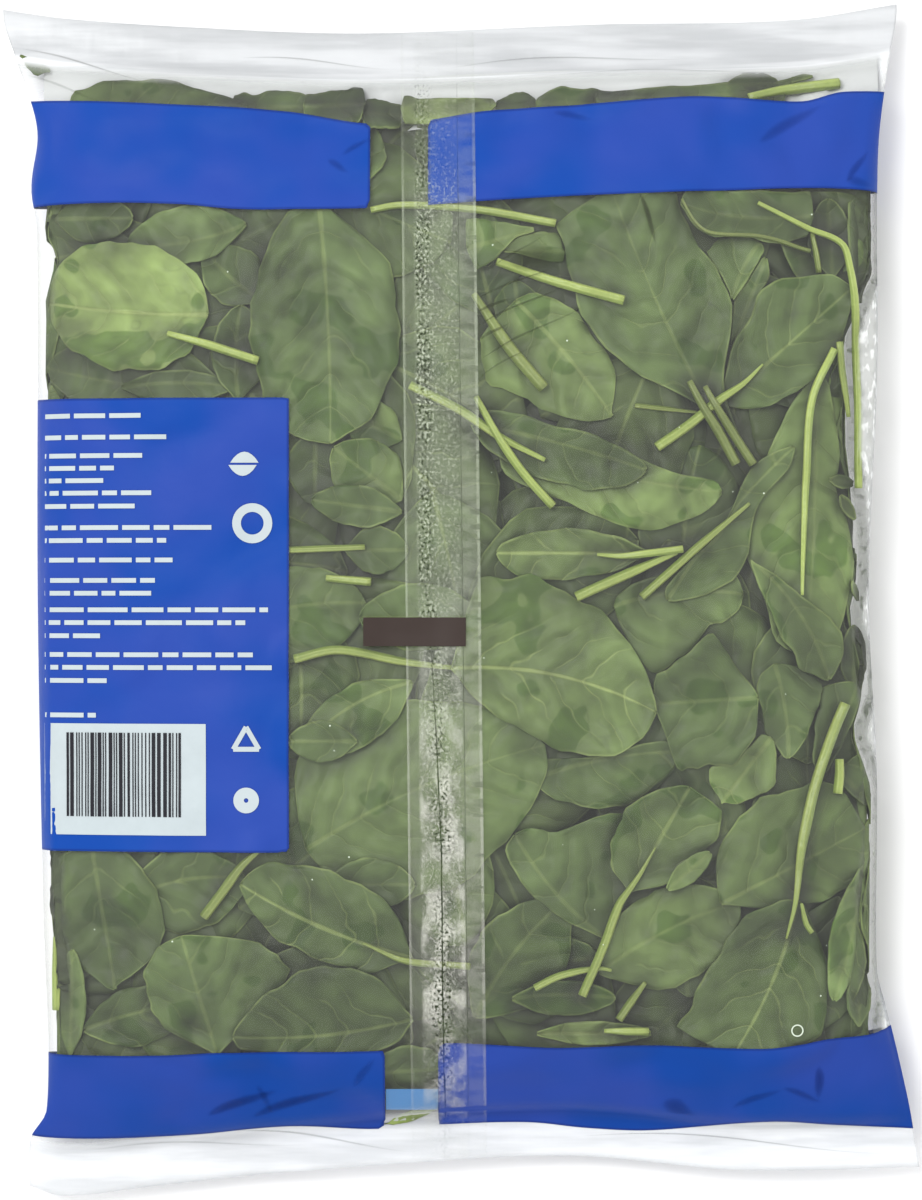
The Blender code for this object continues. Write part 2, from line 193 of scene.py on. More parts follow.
skin = BVHTree.FromObject(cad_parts["bag"], bpy.context.evaluated_depsgraph_get())
steps = [(x, y) for x in range(-90, 91, 15) for y in range(-120, 121, 15)]
above_film = [skin.ray_cast(Vector((x, y, RAY_START)) * MM, Vector((0, 0, -1)))[0].z / MM
              - float(back_height(x, y)) for x, y in steps]
print("the solid's back lies", round(sum(above_film) / len(steps), 2), "mm above the plain pillow on average")

# %% [markdown]
# ## Heaping the leaves
# A heap is built from the bottom up. One map holds the height of what lies there so far. Each new leaf is
# laid on the map, sags over what it finds, and then raises the map by its own thickness. A cloth or rigid
# body run could do this too, but it would not put a leaf where the photograph shows it.

# %% A map of heights
PITCH = 1.5
MAP_HALF_WIDTH, MAP_HALF_LENGTH = 129, 166.5
MAP_X, MAP_Y = np.meshgrid(
    np.arange(-MAP_HALF_WIDTH, MAP_HALF_WIDTH + 0.1, PITCH),
    np.arange(-MAP_HALF_LENGTH, MAP_HALF_LENGTH + 0.1, PITCH),
)


def read_map(heights, x, y):
    """Heights at any places, worked out between the four nearest points of the map."""
    col = np.clip((x - MAP_X[0, 0]) / PITCH, 0, MAP_X.shape[1] - 1.001)
    row = np.clip((y - MAP_Y[0, 0]) / PITCH, 0, MAP_X.shape[0] - 1.001)
    i, j = col.astype(int), row.astype(int)
    a, b = col - i, row - j
    lower = heights[j, i] * (1 - a) + heights[j, i + 1] * a
    upper = heights[j + 1, i] * (1 - a) + heights[j + 1, i + 1] * a
    return lower * (1 - b) + upper * b


def nearest_places(x, y):
    """Rows and columns of the map's nearest points."""
    columns = np.rint((x - MAP_X[0, 0]) / PITCH).astype(int)
    rows = np.rint((y - MAP_Y[0, 0]) / PITCH).astype(int)
    return rows, columns


def shifted(heights, size, axis):
    """Copies of the map, moved along an axis by each step from -size to size."""
    padded = np.pad(heights, [(size, size) if a == axis else (0, 0) for a in (0, 1)], mode="edge")
    span = heights.shape[axis]
    return [padded.take(range(k, k + span), axis) for k in range(2 * size + 1)]


def soften(heights, reach):
    """The map blurred over this many millimetres."""
    size = max(1, round(reach / PITCH))
    weights = np.hanning(2 * size + 3)[1:-1]
    weights /= weights.sum()
    for axis in (0, 1):
        heights = sum(w * moved for w, moved in zip(weights, shifted(heights, size, axis)))
    return heights


def spread(heights, reach):
    """The map with each high place widened by this many millimetres."""
    size = max(1, round(reach / PITCH))
    for axis in (0, 1):
        heights = np.max(shifted(heights, size, axis), axis=0)
    return heights


def as_bed(heights):
    """The map as a stiff blade or stalk feels it: the bumps wider and smoother."""
    return soften(spread(heights, 1.5), 3)


BACK, FLOOR, FOLD = (f(MAP_X, MAP_Y) for f in (back_height, floor_height, fold_height))
FILL = fullness(MAP_X, MAP_Y) * section(MAP_X, MAP_Y)
print("map of", MAP_X.shape[0], "by", MAP_X.shape[1], "places, highest", round(float(BACK.max()), 1), "mm")

# %% [markdown]
# ## Where each leaf lies
# The leaves that can be told apart are listed one by one: where the stalk end and the tip are, the outline
# of the blade, and the layer it lies in. The outlines were read off the photograph and turned into
# millimetres. A plain leaf has one half width instead, and gets an even egg shape. Tracing every outline
# would be slow, and most leaves show only a part. The rest are drawn by chance, evenly spread, and lie
# deeper.
#
# A higher layer lies on a lower one. The last values say how light a leaf is, how far its midrib bends to
# the side, how yellow it is and how pale its veins are.

# %% The leaves that can be told apart
BEHIND, OUTSIDE = 2, 9      # layers up to which a leaf lies behind, and from which it lies outside the heap
Leaf = namedtuple("Leaf", "name stalk tip shape layer tone bend yellow vein", defaults=(0, 0, 0.25))
LEAVES = [
    Leaf("under_band_b", (27.7, 92.5), (11.4, 92.8), ((11.4, 93), (13.5, 95.1), (16.6, 97), (22.2, 97.8),
         (26.2, 97.2), (28, 89.3), (22.2, 90.1), (15.6, 92)), 1, 1.15, 0, 0.1),
    Leaf("upper_small_dark", (-108.6, 101.7), (-87.5, 101.7), 6.6, 1, 0.7),
    Leaf("left_under", (-62.4, 56), (-110.7, 62.1), 11.6, 1, 0.9, 2, 0.05),
    Leaf("left_under_low", (-90.1, 56.5), (-60.5, 56.5), 4.5, 1, 0.7, 1),
    Leaf("behind_stem", (-52.6, 79.3), (-67.6, 92.5), 7.9, 1, 0.8, 1),
    Leaf("behind_centre", (-58.9, 52.8), (-58.4, 78), 7.4, 1, 0.65, 1),
    Leaf("seam_side_dark", (15.6, 70), (14.3, 84.6), 6.3, 1, 0.7),
    Leaf("under_band_a", (6.9, 88.5), (6.9, 102.5), 4.5, 1, 0.8),
    Leaf("gap_dark", (-38.6, 45.5), (-38.6, 25.1), 7.4, 1, 0.55),
    Leaf("panel_side", (-30.7, 13.2), (-14, 13.2), 6.3, 1, 0.85),
    Leaf("right_edge_dark", (104.9, -24.3), (104.9, -6.6), 4, 1, 0.6),
    Leaf("low_left_back", (-90.1, -80.6), (-57.1, -74), 11.1, 1, 0.7, 3),
    Leaf("low_left_corner", (-100.7, -114.9), (-71.6, -107), 7.9, 1, 0.6, 1),
    Leaf("mid_low_back", (2.4, -105.7), (36.7, -95.1), 11.9, 1, 0.65, 2),
    Leaf("right_low_back", (60.5, -105.7), (63.2, -74), 11.9, 1, 0.7, 2),
    Leaf("top_behind_a", (-88.8, 112), (-90, 130), 11, 1, 0.8),
    Leaf("top_behind_b", (-62, 112), (-64, 130), 12, 1, 0.8),
    Leaf("top_behind_c", (-30, 110), (-26, 128), 8, 1, 0.9),
    Leaf("top_behind_d", (10, 112), (14, 129), 12, 1, 0.8),
    Leaf("top_behind_e", (50, 112), (54, 130), 12, 1, 0.8),
    Leaf("top_behind_f", (86, 112), (84, 131), 12, 1, 0.8),
    Leaf("right_top_dark", (99, 86), (98, 107), 6, 1, 0.6, 0, 0, 0.2),
    Leaf("right_fill", (100.7, -45.5), (109.1, -54.4), ((102.8, -36.5), (106, -41), (108.1, -46.2),
         (109.9, -52.8), (108.1, -55), (105.4, -52.8), (102.3, -50.2), (99.4, -46.2), (100.9, -41)), 1.2,
         0.85),
    Leaf("crown_edge", (71.9, 67.6), (81.1, 90.9), ((71.6, 67.9), (72.4, 79.3), (75.8, 84.3), (79, 89.3),
         (80.9, 92.5), (81.9, 89.3), (81.9, 85.1), (78.5, 80.3), (77.4, 75.3), (74.3, 71.3)), 1.5, 0.95),
    Leaf("crown_side", (71.9, 79.8), (79.5, 95.1), ((70.6, 83.2), (67.9, 88.3), (65.3, 92), (67.9, 96.2),
         (75, 97), (80.3, 95.4), (80.6, 92.8), (78.2, 88.5), (75.3, 84), (72.4, 80.1)), 1.6, 1, 1),
    Leaf("seam_side_pale", (1.8, 93.3), (19.3, 98.3), ((1.3, 101.5), (10.3, 100.4), (19.6, 98.6),
         (14.3, 96.2), (11.1, 92.5), (7.7, 89.3), (2.4, 86.4)), 1.6, 1.15, 0, 0.1),
    Leaf("dark_left_low", (3.7, -111), (26.7, -80.1), 12.2, 1.7, 0.75, 2),
    Leaf("right_edge_mid", (96.5, -45.5), (106, -22.2), ((96.5, -23.3), (100.4, -21.7), (105.2, -21.9),
         (107.3, -23.8), (106.5, -27), (104.9, -31.7), (103.1, -35.4), (100.9, -39.6), (98.6, -42.8),
         (96.5, -48.1), (93.5, -44.9), (94.3, -33)), 1.8, 0.95),
    Leaf("dark_mid", (16.1, -48.6), (57.1, -40.2), ((15.6, -46.2), (22.2, -42.3), (36.7, -41.5),
         (49.9, -37.5), (54.7, -37), (57.3, -39.6), (56.8, -43.6), (53.6, -47.6), (48.6, -51.5),
         (42.5, -55), (34.1, -55), (24.8, -52.8)), 1.8, 0.8, 2),
    Leaf("notched", (38.3, -89.8), (14.3, -62.1), ((38.3, -89.8), (28.8, -85.9), (18.2, -78), (12.4, -68.7),
         (10.3, -62.4), (14.8, -59.7), (28.3, -62.1), (34.1, -57.6), (42, -56), (47.3, -59.5),
         (47.3, -71.3), (43.3, -81.9)), 1.9, 0.95, 2),
    Leaf("right_small", (83.2, -16.9), (86.9, -42), ((78.2, -23.8), (79.5, -19), (84.3, -16.6), (90.4, -18),
         (96.2, -21.4), (95.4, -26.4), (93.5, -32.2), (91.2, -37.5), (88.5, -41), (85.6, -42),
         (83.5, -38.3), (81.1, -36.5), (80.1, -30.4)), 1.9, 0.85, 1),
    Leaf("pale_lower", (36.7, -99.1), (73.7, -80.1), 12.9, 1.9, 1.15, 2, 0.1),
    Leaf("soft_mid", (40.4, -1.6), (74.8, 1.6), ((39.4, 0), (47.3, 5.3), (60.5, 8.5), (72.4, 7.9),
         (75.3, 2.6), (74, -2.4), (69.8, -5.8), (65.5, -7.1), (63.4, -9.8), (61, -13.2), (56.5, -16.6),
         (49.9, -20.1), (46.2, -14.5), (42.5, -7.4)), 1.95, 0.95, 2, 0.05, 0.3),
    Leaf("pale_small", (82.2, -36.5), (69, -53.9), ((80.1, -35.1), (83.2, -37.5), (83.8, -43.6),
         (83.5, -48.1), (81.7, -50.5), (76.9, -52.8), (72.4, -54.2), (69, -53.1), (66.3, -49.4),
         (65, -44.4), (72.4, -43.6), (76.9, -38.3)), 1.95, 1.45, 0, 0.1, 0.5),
    Leaf("right_round", (69, -80.6), (108.1, -60.8), ((69, -80.6), (67.1, -71.3), (71.1, -59.5),
         (81.7, -51.5), (96.2, -48.4), (107.5, -50.2), (110.7, -60.8), (108.1, -74), (98.8, -79.3),
         (84.3, -82.4)), 1.96, 1, 0, 0.05, 0.35),
    Leaf("left_tall", (-98.6, -63.9), (-92.2, -103.6), ((-98.6, -63.9), (-107.3, -67.4), (-110.2, -76.6),
         (-109.1, -87.2), (-103.3, -96.5), (-94.1, -103.6), (-82.2, -96.5), (-78.2, -85.9), (-82.2, -74),
         (-88.8, -66.6)), 2, 0.74),
    Leaf("round_seam", (-41, -66.1), (22.2, -38.3), ((-41, -66.1), (-44.1, -52.8), (-43.6, -41),
         (-34.6, -32.2), (-18.8, -27), (-2.9, -25.9), (12.9, -30.4), (22.2, -37), (23.8, -43.6),
         (19.6, -52.8), (11.6, -64.7), (-0.3, -75.3), (-16.1, -80.6), (-32, -76.6)), 2, 1.05, 3, 0.05, 0.3),
    Leaf("long_right", (94.3, 60.2), (91.7, -14.5), ((94.3, 60.2), (88.3, 52.8), (81.7, 39.6), (78.2, 30.4),
         (75.8, 17.2), (75.8, 10), (80.3, 2.6), (83, -10.6), (89.6, -15.9), (98.8, -13.2), (101.7, -6.6),
         (103.6, 2.6), (104.9, 11.9), (102.8, 22.5), (99.6, 29.1), (100.9, 37), (99.6, 50.2), (97.5, 59.5)),
         2, 1.45, 1, 0.1, 0.35),
    Leaf("pale_long", (10.3, 39.1), (69, 28.5), ((7.7, 42.3), (15.6, 46.2), (26.2, 45.5), (39.4, 42.3),
         (48.6, 36.5), (57.9, 33.3), (69, 31.2), (69, 26.4), (61.8, 21.9), (49.9, 17.7), (36.7, 21.9),
         (22.2, 28), (11.6, 33)), 2, 1.6, -1, 0.15, 0.5),
    Leaf("pale_mid", (14.5, 79.3), (39.9, 48.6), ((5, 74.5), (10.3, 79.3), (18.2, 81.9), (26.2, 79.3),
         (32, 75.6), (33, 71.3), (37.8, 67.1), (39.9, 63.2), (41, 57.6), (40.2, 50.7), (38.1, 47.8),
         (33, 47), (26.2, 48.6), (18.2, 52.3), (11.6, 55.8), (5.5, 58.7)), 2, 1.35, 1, 0.12, 0.5),
    Leaf("right_of_mid", (78.5, -25.9), (51, -27.5), ((76.9, -22.7), (74, -19), (70.6, -14.8), (69, -10.6),
         (64.5, -8.5), (62.6, -11.9), (57.9, -15.9), (51.3, -20.1), (51, -26.4), (52.6, -32.2),
         (54.7, -36.5), (57.6, -39.6), (56.8, -44.1), (63.2, -44.4), (72.4, -43.6), (78.5, -35.7),
         (80.3, -30.4), (80.1, -26.4)), 2, 0.95),
    Leaf("right_top_strip", (106.8, 79.3), (106.5, 107.3), ((103.6, 107.8), (109.7, 107.3), (109.9, 86.7),
         (108.6, 84.6), (107.3, 81.4), (106, 78.7), (104.9, 83.2), (103.6, 89.8), (103.3, 99.1)), 2, 0.85),
    Leaf("blade_mid", (54.7, 0), (88.5, 40.7), ((49.9, -1.6), (60.5, 10.6), (69, 18), (72.4, 25.1),
         (75, 31.7), (79, 37), (84.3, 40.2), (89.1, 40.7), (86.9, 34.4), (81.7, 29.1), (78.2, 25.1),
         (76.9, 18.5), (75.8, 10.6), (72.4, 5.3), (64.5, 1.1)), 2, 0.95, 2, 0, 0.4),
    Leaf("upper_edge", (-57.1, 99.9), (-88.8, 94.3), 7.9, 2, 1.05, 2, 0.05),
    Leaf("under_centre_a", (-15.6, 42.3), (-30.7, 50.2), 6.3, 2, 1.2, 0, 0.15),
    Leaf("under_centre_b", (-15.6, 26.4), (-33.6, 40.2), 9, 2, 1.05, 0, 0.1),
    Leaf("under_centre_c", (-15.6, 23.3), (-39.4, 26.4), 5.5, 2, 0.9),
    Leaf("panel_right_round", (-62.4, -6.6), (-25.1, -0.8), 12.7, 2, 1, 2, 0.05),
    Leaf("seam_middle", (5.5, -4.5), (-26.7, -4.5), 9, 2, 0.95),
    Leaf("crescent", (-12.9, -21.7), (-43.1, -40.2), 7.9, 2, 1.1, -3, 0.05, 0.5),
    Leaf("round_dark", (-27.5, -37.3), (-45.7, -37.3), 5.5, 2, 0.75),
    Leaf("low_middle_left", (-35.9, -75.3), (-12.4, -75.3), 7.1, 2, 0.85),
    Leaf("low_narrow", (13.7, -106), (41.2, -106), 4.8, 2, 0.9, 1),
    Leaf("corner_upright", (-104.6, -122.1), (-103.8, -93.3), 4, 2, 1.1, 0, 0.05),
    Leaf("corner_green", (106.5, -114.2), (106.5, -98.6), 3.4, 2, 0.9),
    Leaf("top_dark", (71, 138), (86, 138), ((71, 137), (71.5, 139), (75, 141.2), (76.1, 141.7), (82, 141.4),
         (85, 139.8), (86, 135)), 2.05, 0.55, 0, 0, 0.2),
    Leaf("top_b", (-61.5, 132), (-41, 132), ((-61.5, 135.2), (-57.8, 136.1), (-55.7, 135.3), (-51.9, 136.5),
         (-46.5, 136.6), (-41.2, 135.5), (-41, 127), (-61, 127)), 2.06, 0.75, 0, 0, 0.2),
    Leaf("top_c", (-26, 130.5), (-15.8, 129.5), ((-26, 134.2), (-22.3, 134.2), (-18.6, 133.1),
         (-15.8, 132.4), (-15.8, 126), (-26, 126)), 2.07, 0.75, 0, 0, 0.2),
    Leaf("top_f", (9.5, 132), (20, 132), ((9.5, 133.4), (10.5, 134.2), (13.2, 135.5), (14.5, 136.3),
         (17.2, 136.1), (19.1, 135), (20, 134), (20, 128), (9.5, 128)), 2.08, 0.8, 0, 0, 0.2),
    Leaf("top_g", (19.9, 133), (45.4, 133), ((19.9, 134.2), (23.9, 136.6), (26.6, 137.7), (29.3, 137.6),
         (32.5, 136.5), (32.9, 137.5), (36.3, 137.1), (40.1, 136.2), (45.4, 136.2), (45.4, 128), (20, 128)),
         2.1, 0.85, 0, 0, 0.2),
    Leaf("top_h", (36, 134), (87, 136), ((36, 136), (48.1, 136.9), (56.2, 137.8), (61, 138), (70.7, 138.8),
         (84.7, 139), (87.4, 138.4), (87, 130), (36, 130)), 2.15, 0.95, 0, 0.05, 0.2),
    Leaf("top_tip", (83, 138), (94.4, 140.7), ((83, 138.5), (84.7, 139.2), (89, 140.4), (91.7, 141.4),
         (94.4, 140.9), (92.8, 139.8), (87.4, 138.4), (84, 136)), 2.2, 0.85, 0, 0.05, 0.2),
    Leaf("top_b_right", (-42, 132), (-25.5, 133), ((-42, 135.4), (-35.8, 136.5), (-30.4, 137.1),
         (-28.2, 137.8), (-25.8, 136.9), (-25.8, 133.5), (-27, 127), (-42, 127)), 2.2, 0.65, 0, 0, 0.2),
    Leaf("top_a", (-105.3, 132), (-56.7, 131), ((-105.3, 136.9), (-103.3, 136.4), (-100.3, 137.4),
         (-97.1, 139), (-87.4, 139.6), (-83.1, 140.1), (-78.8, 139.8), (-73.4, 138), (-64.8, 135.5),
         (-56.7, 133.1), (-58, 126), (-105, 126)), 2.25, 0.85, 0, 0.1, 0.4),
    Leaf("top_d", (-15.9, 131), (9.4, 132.5), ((-15.9, 134.6), (-15.1, 135.5), (-11.6, 134.5),
         (-0.8, 134.4), (9.4, 134.3), (9.4, 132), (5, 128), (-15.9, 127)), 3, 1.45, 0, 0.4, 0.3),
    Leaf("corner_scrap", (-118.6, 146.6), (-110.4, 142), ((-118.6, 146.8), (-113.7, 145), (-109.9, 142.5),
         (-114.2, 140.7), (-116.6, 143.1)), 9, 0.95, 0, 0.1, 0.2),
    Leaf("low_seam_strip", (-20.6, -141.8), (-5.6, -135.5), 1.5, 9, 1.5, 0, 0.6, 0.2),
    Leaf("veined_low", (-12.9, -95.1), (-58.4, -75.3), ((-12.9, -95.1), (-16.1, -84.6), (-24, -76.1),
         (-37.3, -70.8), (-50.5, -69.2), (-58.9, -73.5), (-57.1, -80.6), (-49.2, -89.8), (-37.3, -95.7),
         (-24, -99.1)), 2.3, 0.85, 2, 0, 0.7),
    Leaf("fan_right", (69.5, 52.3), (104.1, 83.2), ((69.5, 52.3), (69.8, 61.3), (72.7, 65.3), (73.5, 66.9),
         (72.7, 69), (74.3, 72.1), (76.9, 74.3), (78, 79.3), (80.3, 82.2), (83, 85.1), (89.6, 86.1),
         (100.7, 86.7), (103.8, 84.6), (104.4, 80.3), (103.1, 74.8), (101.2, 70.6), (100.7, 67.4),
         (95.7, 61.3), (91.4, 56.8), (84, 52.3), (77.7, 50.7), (71.6, 51)), 3, 0.93, 0, 0, 0.45),
    Leaf("upper_pale", (-67.1, 75.6), (-110.7, 79.3), ((-67.1, 75.6), (-68.2, 84.6), (-76.9, 92.5),
         (-92.8, 95.9), (-104.6, 92.5), (-109.9, 85.9), (-110.7, 76.6), (-106, 68.2), (-95.4, 61.8),
         (-82.2, 60.5), (-71.6, 65.5)), 3, 1.6, 1, 0.3, 1),
    Leaf("left_fold", (-65, -121), (-74.3, -89.3), ((-65, -121), (-78.2, -114.9), (-83.5, -107),
         (-84, -97.8), (-80.1, -91.2), (-72.9, -88.8), (-58.4, -89.8), (-47.8, -93.8), (-45.2, -99.1),
         (-50.5, -105.7), (-57.1, -113.6)), 3, 1, 0, 0, 0.3),
    Leaf("dark_low", (-12.9, -111.5), (-60.5, -116.3), ((-12.9, -111.5), (-20.1, -101.7), (-30.7, -96.7),
         (-42.5, -98.3), (-53.1, -105.7), (-59.7, -113.6), (-61, -119.4), (-47.8, -121), (-32, -121.6),
         (-17.4, -118.9)), 3, 0.54, 2, 0, 0.35),
    Leaf("wavy_dark", (2.9, 46.5), (48.9, 34.4), ((2.9, 46.5), (5, 50.2), (15.6, 49.7), (22.2, 46.5),
         (31.4, 44.9), (40.7, 41.2), (47.8, 37), (49.4, 34.4), (44.7, 30.1), (34.1, 29.1), (22.2, 31.7),
         (11.6, 36.5), (4.5, 42.3)), 3, 0.85, 1, 0, 0.3),
    Leaf("oval_mid", (49.9, 12.4), (9.5, 12.4), ((49.9, 12.4), (42, 16.6), (31.4, 19), (18.2, 18),
         (10.3, 14.5), (9.5, 10.6), (15.6, 5.8), (27.5, 5.3), (40.7, 7.4)), 3, 1.05, 0, 0.1, 0.9),
    Leaf("fork_leaf", (44.7, -77.4), (60.5, -49.7), ((44.7, -77.4), (39.9, -71.3), (39.9, -63.4),
         (43.3, -55.5), (51.3, -50.2), (61.8, -48.6), (69, -52.8), (69, -60.8), (63.2, -68.7),
         (55.2, -75.3)), 3, 1.05, 0, 0.05, 0.5),
    Leaf("lower_right", (89.6, -80.1), (72.4, -121.6), ((89.6, -80.1), (86.4, -79.3), (76.4, -83.2),
         (69.8, -91.2), (64.5, -100.4), (61.8, -106.2), (54.7, -118.9), (63.2, -121.6), (79, -121.6),
         (93.5, -119.4), (97.5, -111), (98.6, -99.1), (95.4, -89.8), (91.7, -82.4)), 3, 0.87, 2, 0, 0.6),
    Leaf("centre_big", (-37.8, 105.7), (-34.6, 41.5), ((-37.8, 106.2), (-47, 103.1), (-52.6, 89.8),
         (-55.8, 79.3), (-55.2, 66.1), (-52.6, 52.8), (-46.5, 43.6), (-34.6, 41.5), (-24, 47.6),
         (-17.4, 60.8), (-16.1, 74), (-18.2, 87.2), (-24, 95.1), (-32, 101.7)), 3, 1, 1, 0, 0.35),
    Leaf("crown_big", (72.1, 40.2), (39.9, 109.4), ((70, 41), (66.9, 46.2), (63.4, 52.3), (58.9, 55.8),
         (52.3, 56.5), (44.9, 60.5), (37.8, 67.4), (31.7, 76.6), (28, 88.3), (25.6, 99.1), (24, 106.2),
         (26.7, 109.9), (55.2, 109.9), (59.5, 100.4), (63.2, 94.1), (67.6, 88.8), (70.3, 82.4),
         (71.9, 77.2), (71.1, 68.7), (69.5, 61.3), (69.5, 56), (71.1, 50.7), (74.3, 42.3)), 3, 1, 2, 0,
         0.3),
    Leaf("curled_top", (93.8, 102.5), (58.4, 105.2), ((93.8, 108.9), (93.8, 97.8), (89.6, 95.9),
         (84.8, 94.3), (80.3, 95.9), (75.3, 96.7), (67.6, 96.7), (63.9, 98), (60, 101.7), (58.1, 107),
         (58.9, 108.9)), 3, 0.95, 2),
    Leaf("folded_right", (76.9, 10.6), (98, -21.1), ((76.4, 10.6), (79.5, 2.6), (83.2, -5.3), (85.6, -11.1),
         (88.5, -13.7), (90.1, -18.5), (93.8, -19.8), (97, -21.4), (100.1, -18.5), (102, -13.7),
         (101.2, -8.5), (97.5, -3.7), (90.9, 0.5), (83, 7.4)), 3, 1, 3, 0.05, 0.3),
    Leaf("low_bright", (20.3, -115.5), (50.5, -115.5), 3.2, 3, 1.35, 0, 0.3, 0.8),
    Leaf("strip_right", (107.5, -70.8), (99.6, -106.8), 4.8, 3, 1.35, 1, 0.05),
    Leaf("edge_bit_a", (98, 32), (104.6, 31), 1.7, 3, 0.55, 0, 0, 0.1),
    Leaf("edge_bit_b", (101, 27.8), (105.2, 21.5), 1.5, 3, 0.5, 0, 0, 0.1),
    Leaf("edge_bit_c", (104.4, 5.2), (106.2, -0.2), 0.9, 3, 0.9, 0, 0, 0.1),
    Leaf("low_gap", (-25, -126.5), (-3, -125), 7, 1, 0.75),
    Leaf("pale_flap", (54.7, -76.6), (66, -67), 3, 3.2, 1.45, 0, 0.1, 0.3),
    Leaf("big_mid", (-2.4, -18), (51.5, -29.6), ((-2.4, -18), (-1.6, -4), (3.7, 5.3), (10.3, 6.6),
         (18.2, 6.1), (30.1, 1.3), (39.4, -5.3), (46, -13.2), (49.9, -21.1), (51.5, -29.6), (48.6, -36.2),
         (42, -40.4), (36.7, -42), (28.8, -40.4), (19.6, -36.5), (10.3, -31.2), (2.4, -25.1)), 4, 1.15, 4,
         0.1, 1),
]
print(len(LEAVES), "leaves are placed by hand")

# %% The stalks
Stem = namedtuple("Stem", "name layer thickness thin tone route")
STEMS = [
    Stem("panel_upper", 2, 1.8, 0.8, 0.75, ((-25.4, 14), (-45.7, 13.2))),
    Stem("panel_lower", 2, 2.2, 0.8, 0.9, ((-35.7, 5.8), (-23.8, 4.8))),
    Stem("thin", 2, 1.3, 0.6, 0.6, ((63.2, 49.7), (46, 51.5))),
    Stem("faint", 2, 1.6, 0.8, 0.6, ((93.5, 97.8), (94.6, 92.5), (95.4, 87.2))),
    Stem("right_low_bit", 2.5, 2.6, 0.9, 0.9, ((100.7, -42.3), (100.7, -46.5), (100.2, -51.5))),
    Stem("across_seam_top", 3, 2.2, 0.8, 0.85, ((-24, 103.6), (-16.1, 104.9), (3.2, 103.8), (25.1, 99.9))),
    Stem("broad", 3, 3.2, 0.55, 0.57, ((3.4, 81), (12.4, 67.4), (21.9, 56))),
    Stem("long_right", 3, 2.1, 0.4, 1.1, ((90.6, 1.3), (91.2, 21.1), (91.7, 32.8), (93.3, 53.6),
                                          (99.4, 66.9))),
    Stem("blade", 3, 2.2, 0.4, 0.7, ((76.4, 25.6), (63.2, 14.5), (47.8, 0.8))),
    Stem("big_mid", 3, 2.4, 0.4, 0.8, ((2, -18.3), (-14.5, -16.4), (-32.5, -13.2), (-44.1, -15.6))),
    Stem("pale_lower", 3, 2.0, 0.4, 0.8, ((40, -98.4), (36.7, -97.8), (26.2, -99.9), (19.6, -103.1))),
    Stem("dull_low", 3, 2.2, 0.5, 0.6, ((48.9, -101.7), (42, -111.8))),
    Stem("panel_edge", 3, 2.6, 0.5, 0.6, ((-53.4, -66.1), (-58.4, -70.8), (-63.2, -77.4), (-68.2, -84))),
    Stem("left_edge", 3, 2.4, 0.7, 0.95, ((-108.3, -90.1), (-108.3, -109.7))),
    Stem("veined", 3, 1.9, 0.3, 0.7, ((-26, -91), (-14.8, -95.7), (2.4, -97.2))),
    Stem("top_right", 3, 3.0, 0.7, 0.9, ((77, 134.6), (86, 136.6), (101.4, 138.6))),
    Stem("rolled_edge", 3.1, 1.2, 0.6, 0.5, ((58.6, 106.5), (62, 100.5), (66.1, 97.5), (80, 96.5),
                                             (93, 92.9))),
    Stem("beside_long", 3.2, 1.9, 0.6, 0.8, ((103.3, 48.9), (102.8, 52.8), (101.5, 60.8), (100.7, 68.7))),
    Stem("crown", 3.5, 2.7, 0.6, 0.48, ((60.5, 58), (63.4, 52.4), (67.9, 45.2), (73, 36))),
    Stem("crown_twin", 3.5, 2.4, 0.6, 0.46, ((64.6, 56.5), (66.8, 52.5), (71.5, 45), (77.4, 36))),
    Stem("under_pale", 4, 2.4, 0.6, 1.0, ((-77.7, 70.6), (-66.3, 67.4), (-53.6, 63.2))),
    Stem("cut_upper", 4, 2.6, 0.8, 1.0, ((9.5, 89.6), (26.2, 84), (43.1, 79.3))),
    Stem("long_leaf", 4, 2.4, 0.5, 0.88, ((22.2, 37), (10.3, 43.1), (-0.3, 50.2), (-13.5, 56.8))),
    Stem("crossing", 4, 2.3, 0.7, 0.95, ((4, 53.6), (10.3, 42.3), (16.9, 33), (24.3, 24.8))),
    Stem("fan", 3.4, 2.6, 0.2, 0.95, ((80, 62.5), (75, 57.5), (69, 53.4), (60.5, 46.5), (51.8, 40.4))),
    Stem("right_edge", 4, 2.2, 0.5, 1.02, ((79, 105.7), (92.2, 99.1), (101.5, 95.1), (103.6, 88.5),
                                           (104.9, 79.3), (105.4, 66.1), (106, 47.6), (106, 29.9))),
    Stem("pale_cut", 4, 2.7, 0.5, 0.85, ((57.1, 12.7), (43.3, 6.6), (30.4, 0.8))),
    Stem("oval", 4, 2.0, 0.4, 0.9, ((36, 12), (42, 11.6), (49.9, 12.4), (58.7, 13.5))),
    Stem("lower_right", 4, 2.9, 0.2, 0.8, ((86.5, -90), (88.8, -80.5), (90.4, -66.1), (91.7, -59.5),
                                            (93.5, -51.5), (95.9, -43.6), (98.8, -35.7), (102.3, -27.5))),
    Stem("fork", 4, 2.4, 0.15, 0.78, ((51.5, -65.5), (47.5, -72.5), (44.7, -76.6), (42, -80.6), (38.1, -91.2),
                                      (32.2, -105.2))),
    Stem("low_short", 4, 2.2, 0.5, 0.95, ((38.1, -114.7), (49.9, -114.9))),
    Stem("hook", 4, 1.5, 0.5, 0.8, ((90.4, -80.6), (91.7, -85.9), (93.3, -88.5))),
]
print(len(STEMS), "stalks")

# %% The leaves behind them
SCATTER_HALF_WIDTH, SCATTER_HALF_LENGTH = 104, 130


def plain_leaf(name, x, y, turn, long, **values):
    """An egg-shaped leaf of this length with its middle at x, y."""
    dx, dy = math.cos(turn) * long / 2, math.sin(turn) * long / 2
    return Leaf(name, (x - dx, y - dy), (x + dx, y + dy), layer=0, **values)


